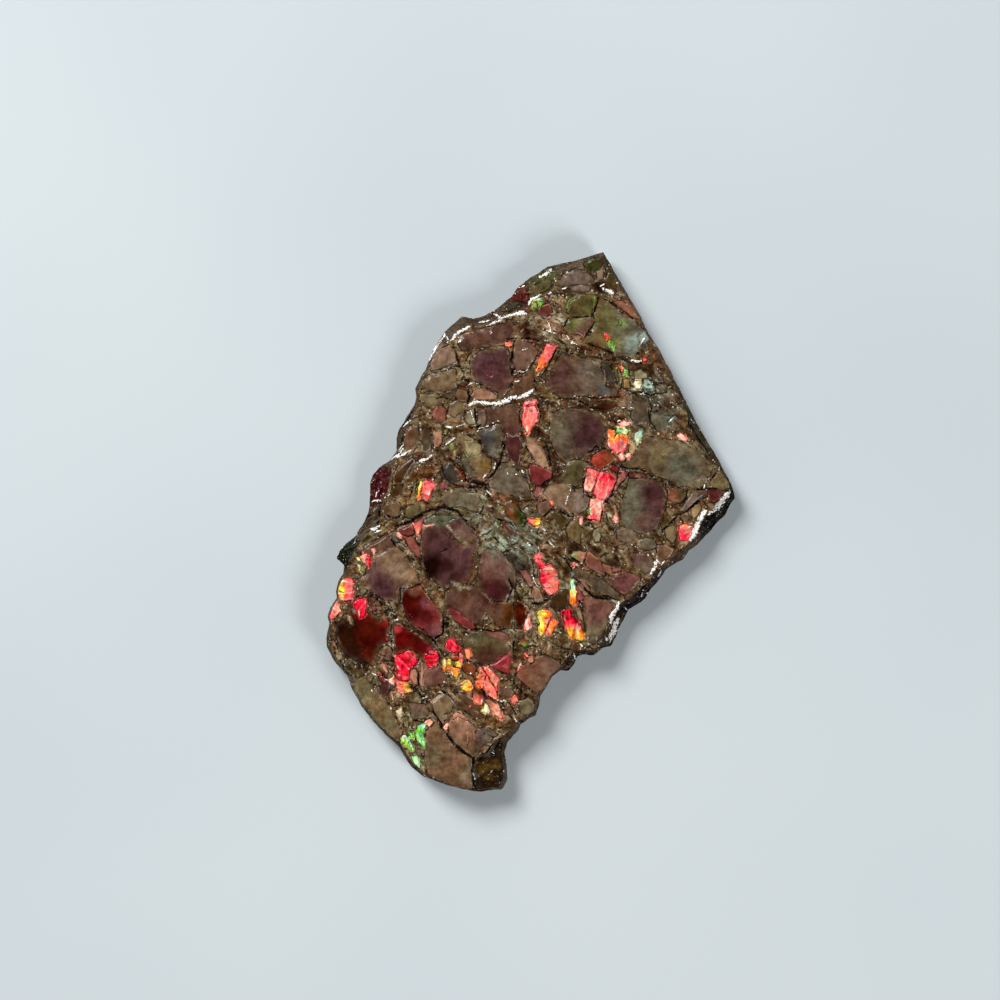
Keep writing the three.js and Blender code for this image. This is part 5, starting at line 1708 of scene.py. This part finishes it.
# Their order is that of PEARL, LEDGE, WALL and BACK.
materials = [pearl_mosaic(), dark_ledge(), broken_edge(), shale_back()]
fragment = as_object("ammolite_fragment", vertices, faces, kinds, painted, materials)
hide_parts(NODE)
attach(fragment, "root")


# ---------------------------------------------------------------- stage, lights and camera
def make_floor():
    """A pale blue-grey tabletop, level with the rest face."""
    size = 1.2
    mesh = bpy.data.meshes.new("floor")
    corners = [(-size, -size, 0), (size, -size, 0), (size, size, 0), (-size, size, 0)]
    mesh.from_pydata(corners, [], [(0, 1, 2, 3)])
    floor = in_scene(bpy.data.objects.new("floor", mesh))
    g = Graph("pale_table")
    tone = g.spread(g.noise(g.millimetres(), 60, detail=2), 0.0, 1.0)
    mesh.materials.append(g.shaded({
        "Base Color": g.mix(tone, rgba(FLOOR_DARK), rgba(FLOOR_PALE)),
        "Roughness": 0.75,
    }))


def soft_light(name, azimuth, elevation, distance, power):
    """A square area light that looks at the fragment. Azimuth is from +Y, clockwise seen from above."""
    turn, lift = math.radians(azimuth), math.radians(elevation)
    flat = math.cos(lift)
    place = distance * Vector((flat * math.sin(turn), flat * math.cos(turn), math.sin(lift)))
    data = bpy.data.lights.new(name, "AREA")
    data.shape = "SQUARE"
    data.size = LIGHT_SIZE
    data.energy = power
    data.color = LIGHT_COLOUR
    light = in_scene(bpy.data.objects.new(name, data))
    light.location = place
    light.rotation_euler = (-place).to_track_quat("-Z", "Y").to_euler()


def make_world():
    """A studio that is pale at the sides and dark overhead, so flat pearl looks deep."""
    world = bpy.data.worlds.new("studio")
    world.use_nodes = True
    nodes, links = world.node_tree.nodes, world.node_tree.links
    heading = nodes.new("ShaderNodeTexCoord").outputs["Generated"]
    lift = nodes.new("ShaderNodeSeparateXYZ")
    links.new(heading, lift.inputs[0])
    sky = nodes.new("ShaderNodeValToRGB")
    links.new(lift.outputs["Z"], sky.inputs["Fac"])
    for element, (height, level) in zip(sky.color_ramp.elements, SKY_STOPS):
        element.position = height
        element.color = (*(level * share for share in SKY_TINT), 1)
    links.new(sky.outputs["Color"], nodes["Background"].inputs["Color"])
    nodes["Background"].inputs["Strength"].default_value = 0.7
    bpy.context.scene.world = world


def make_camera():
    """A camera straight above, framed as the photograph is."""
    face_height = 2.5 * MM
    distance = 0.26
    frame_width = PHOTO_WIDTH * square * MM
    x, y = on_plan(PHOTO_MIDDLE) * MM
    data = bpy.data.cameras.new("camera")
    data.sensor_width = 36
    data.lens = data.sensor_width * distance / frame_width
    data.clip_start = 0.01
    camera = in_scene(bpy.data.objects.new("camera", data))
    camera.location = (x, y, face_height + distance)
    bpy.context.scene.camera = camera


make_floor()
make_world()
soft_light("window", azimuth=-40, elevation=40, distance=0.5, power=3.2)
soft_light("far_fill", azimuth=130, elevation=34, distance=0.6, power=2.1)
make_camera()
bpy.context.scene.view_settings.view_transform = "Standard"
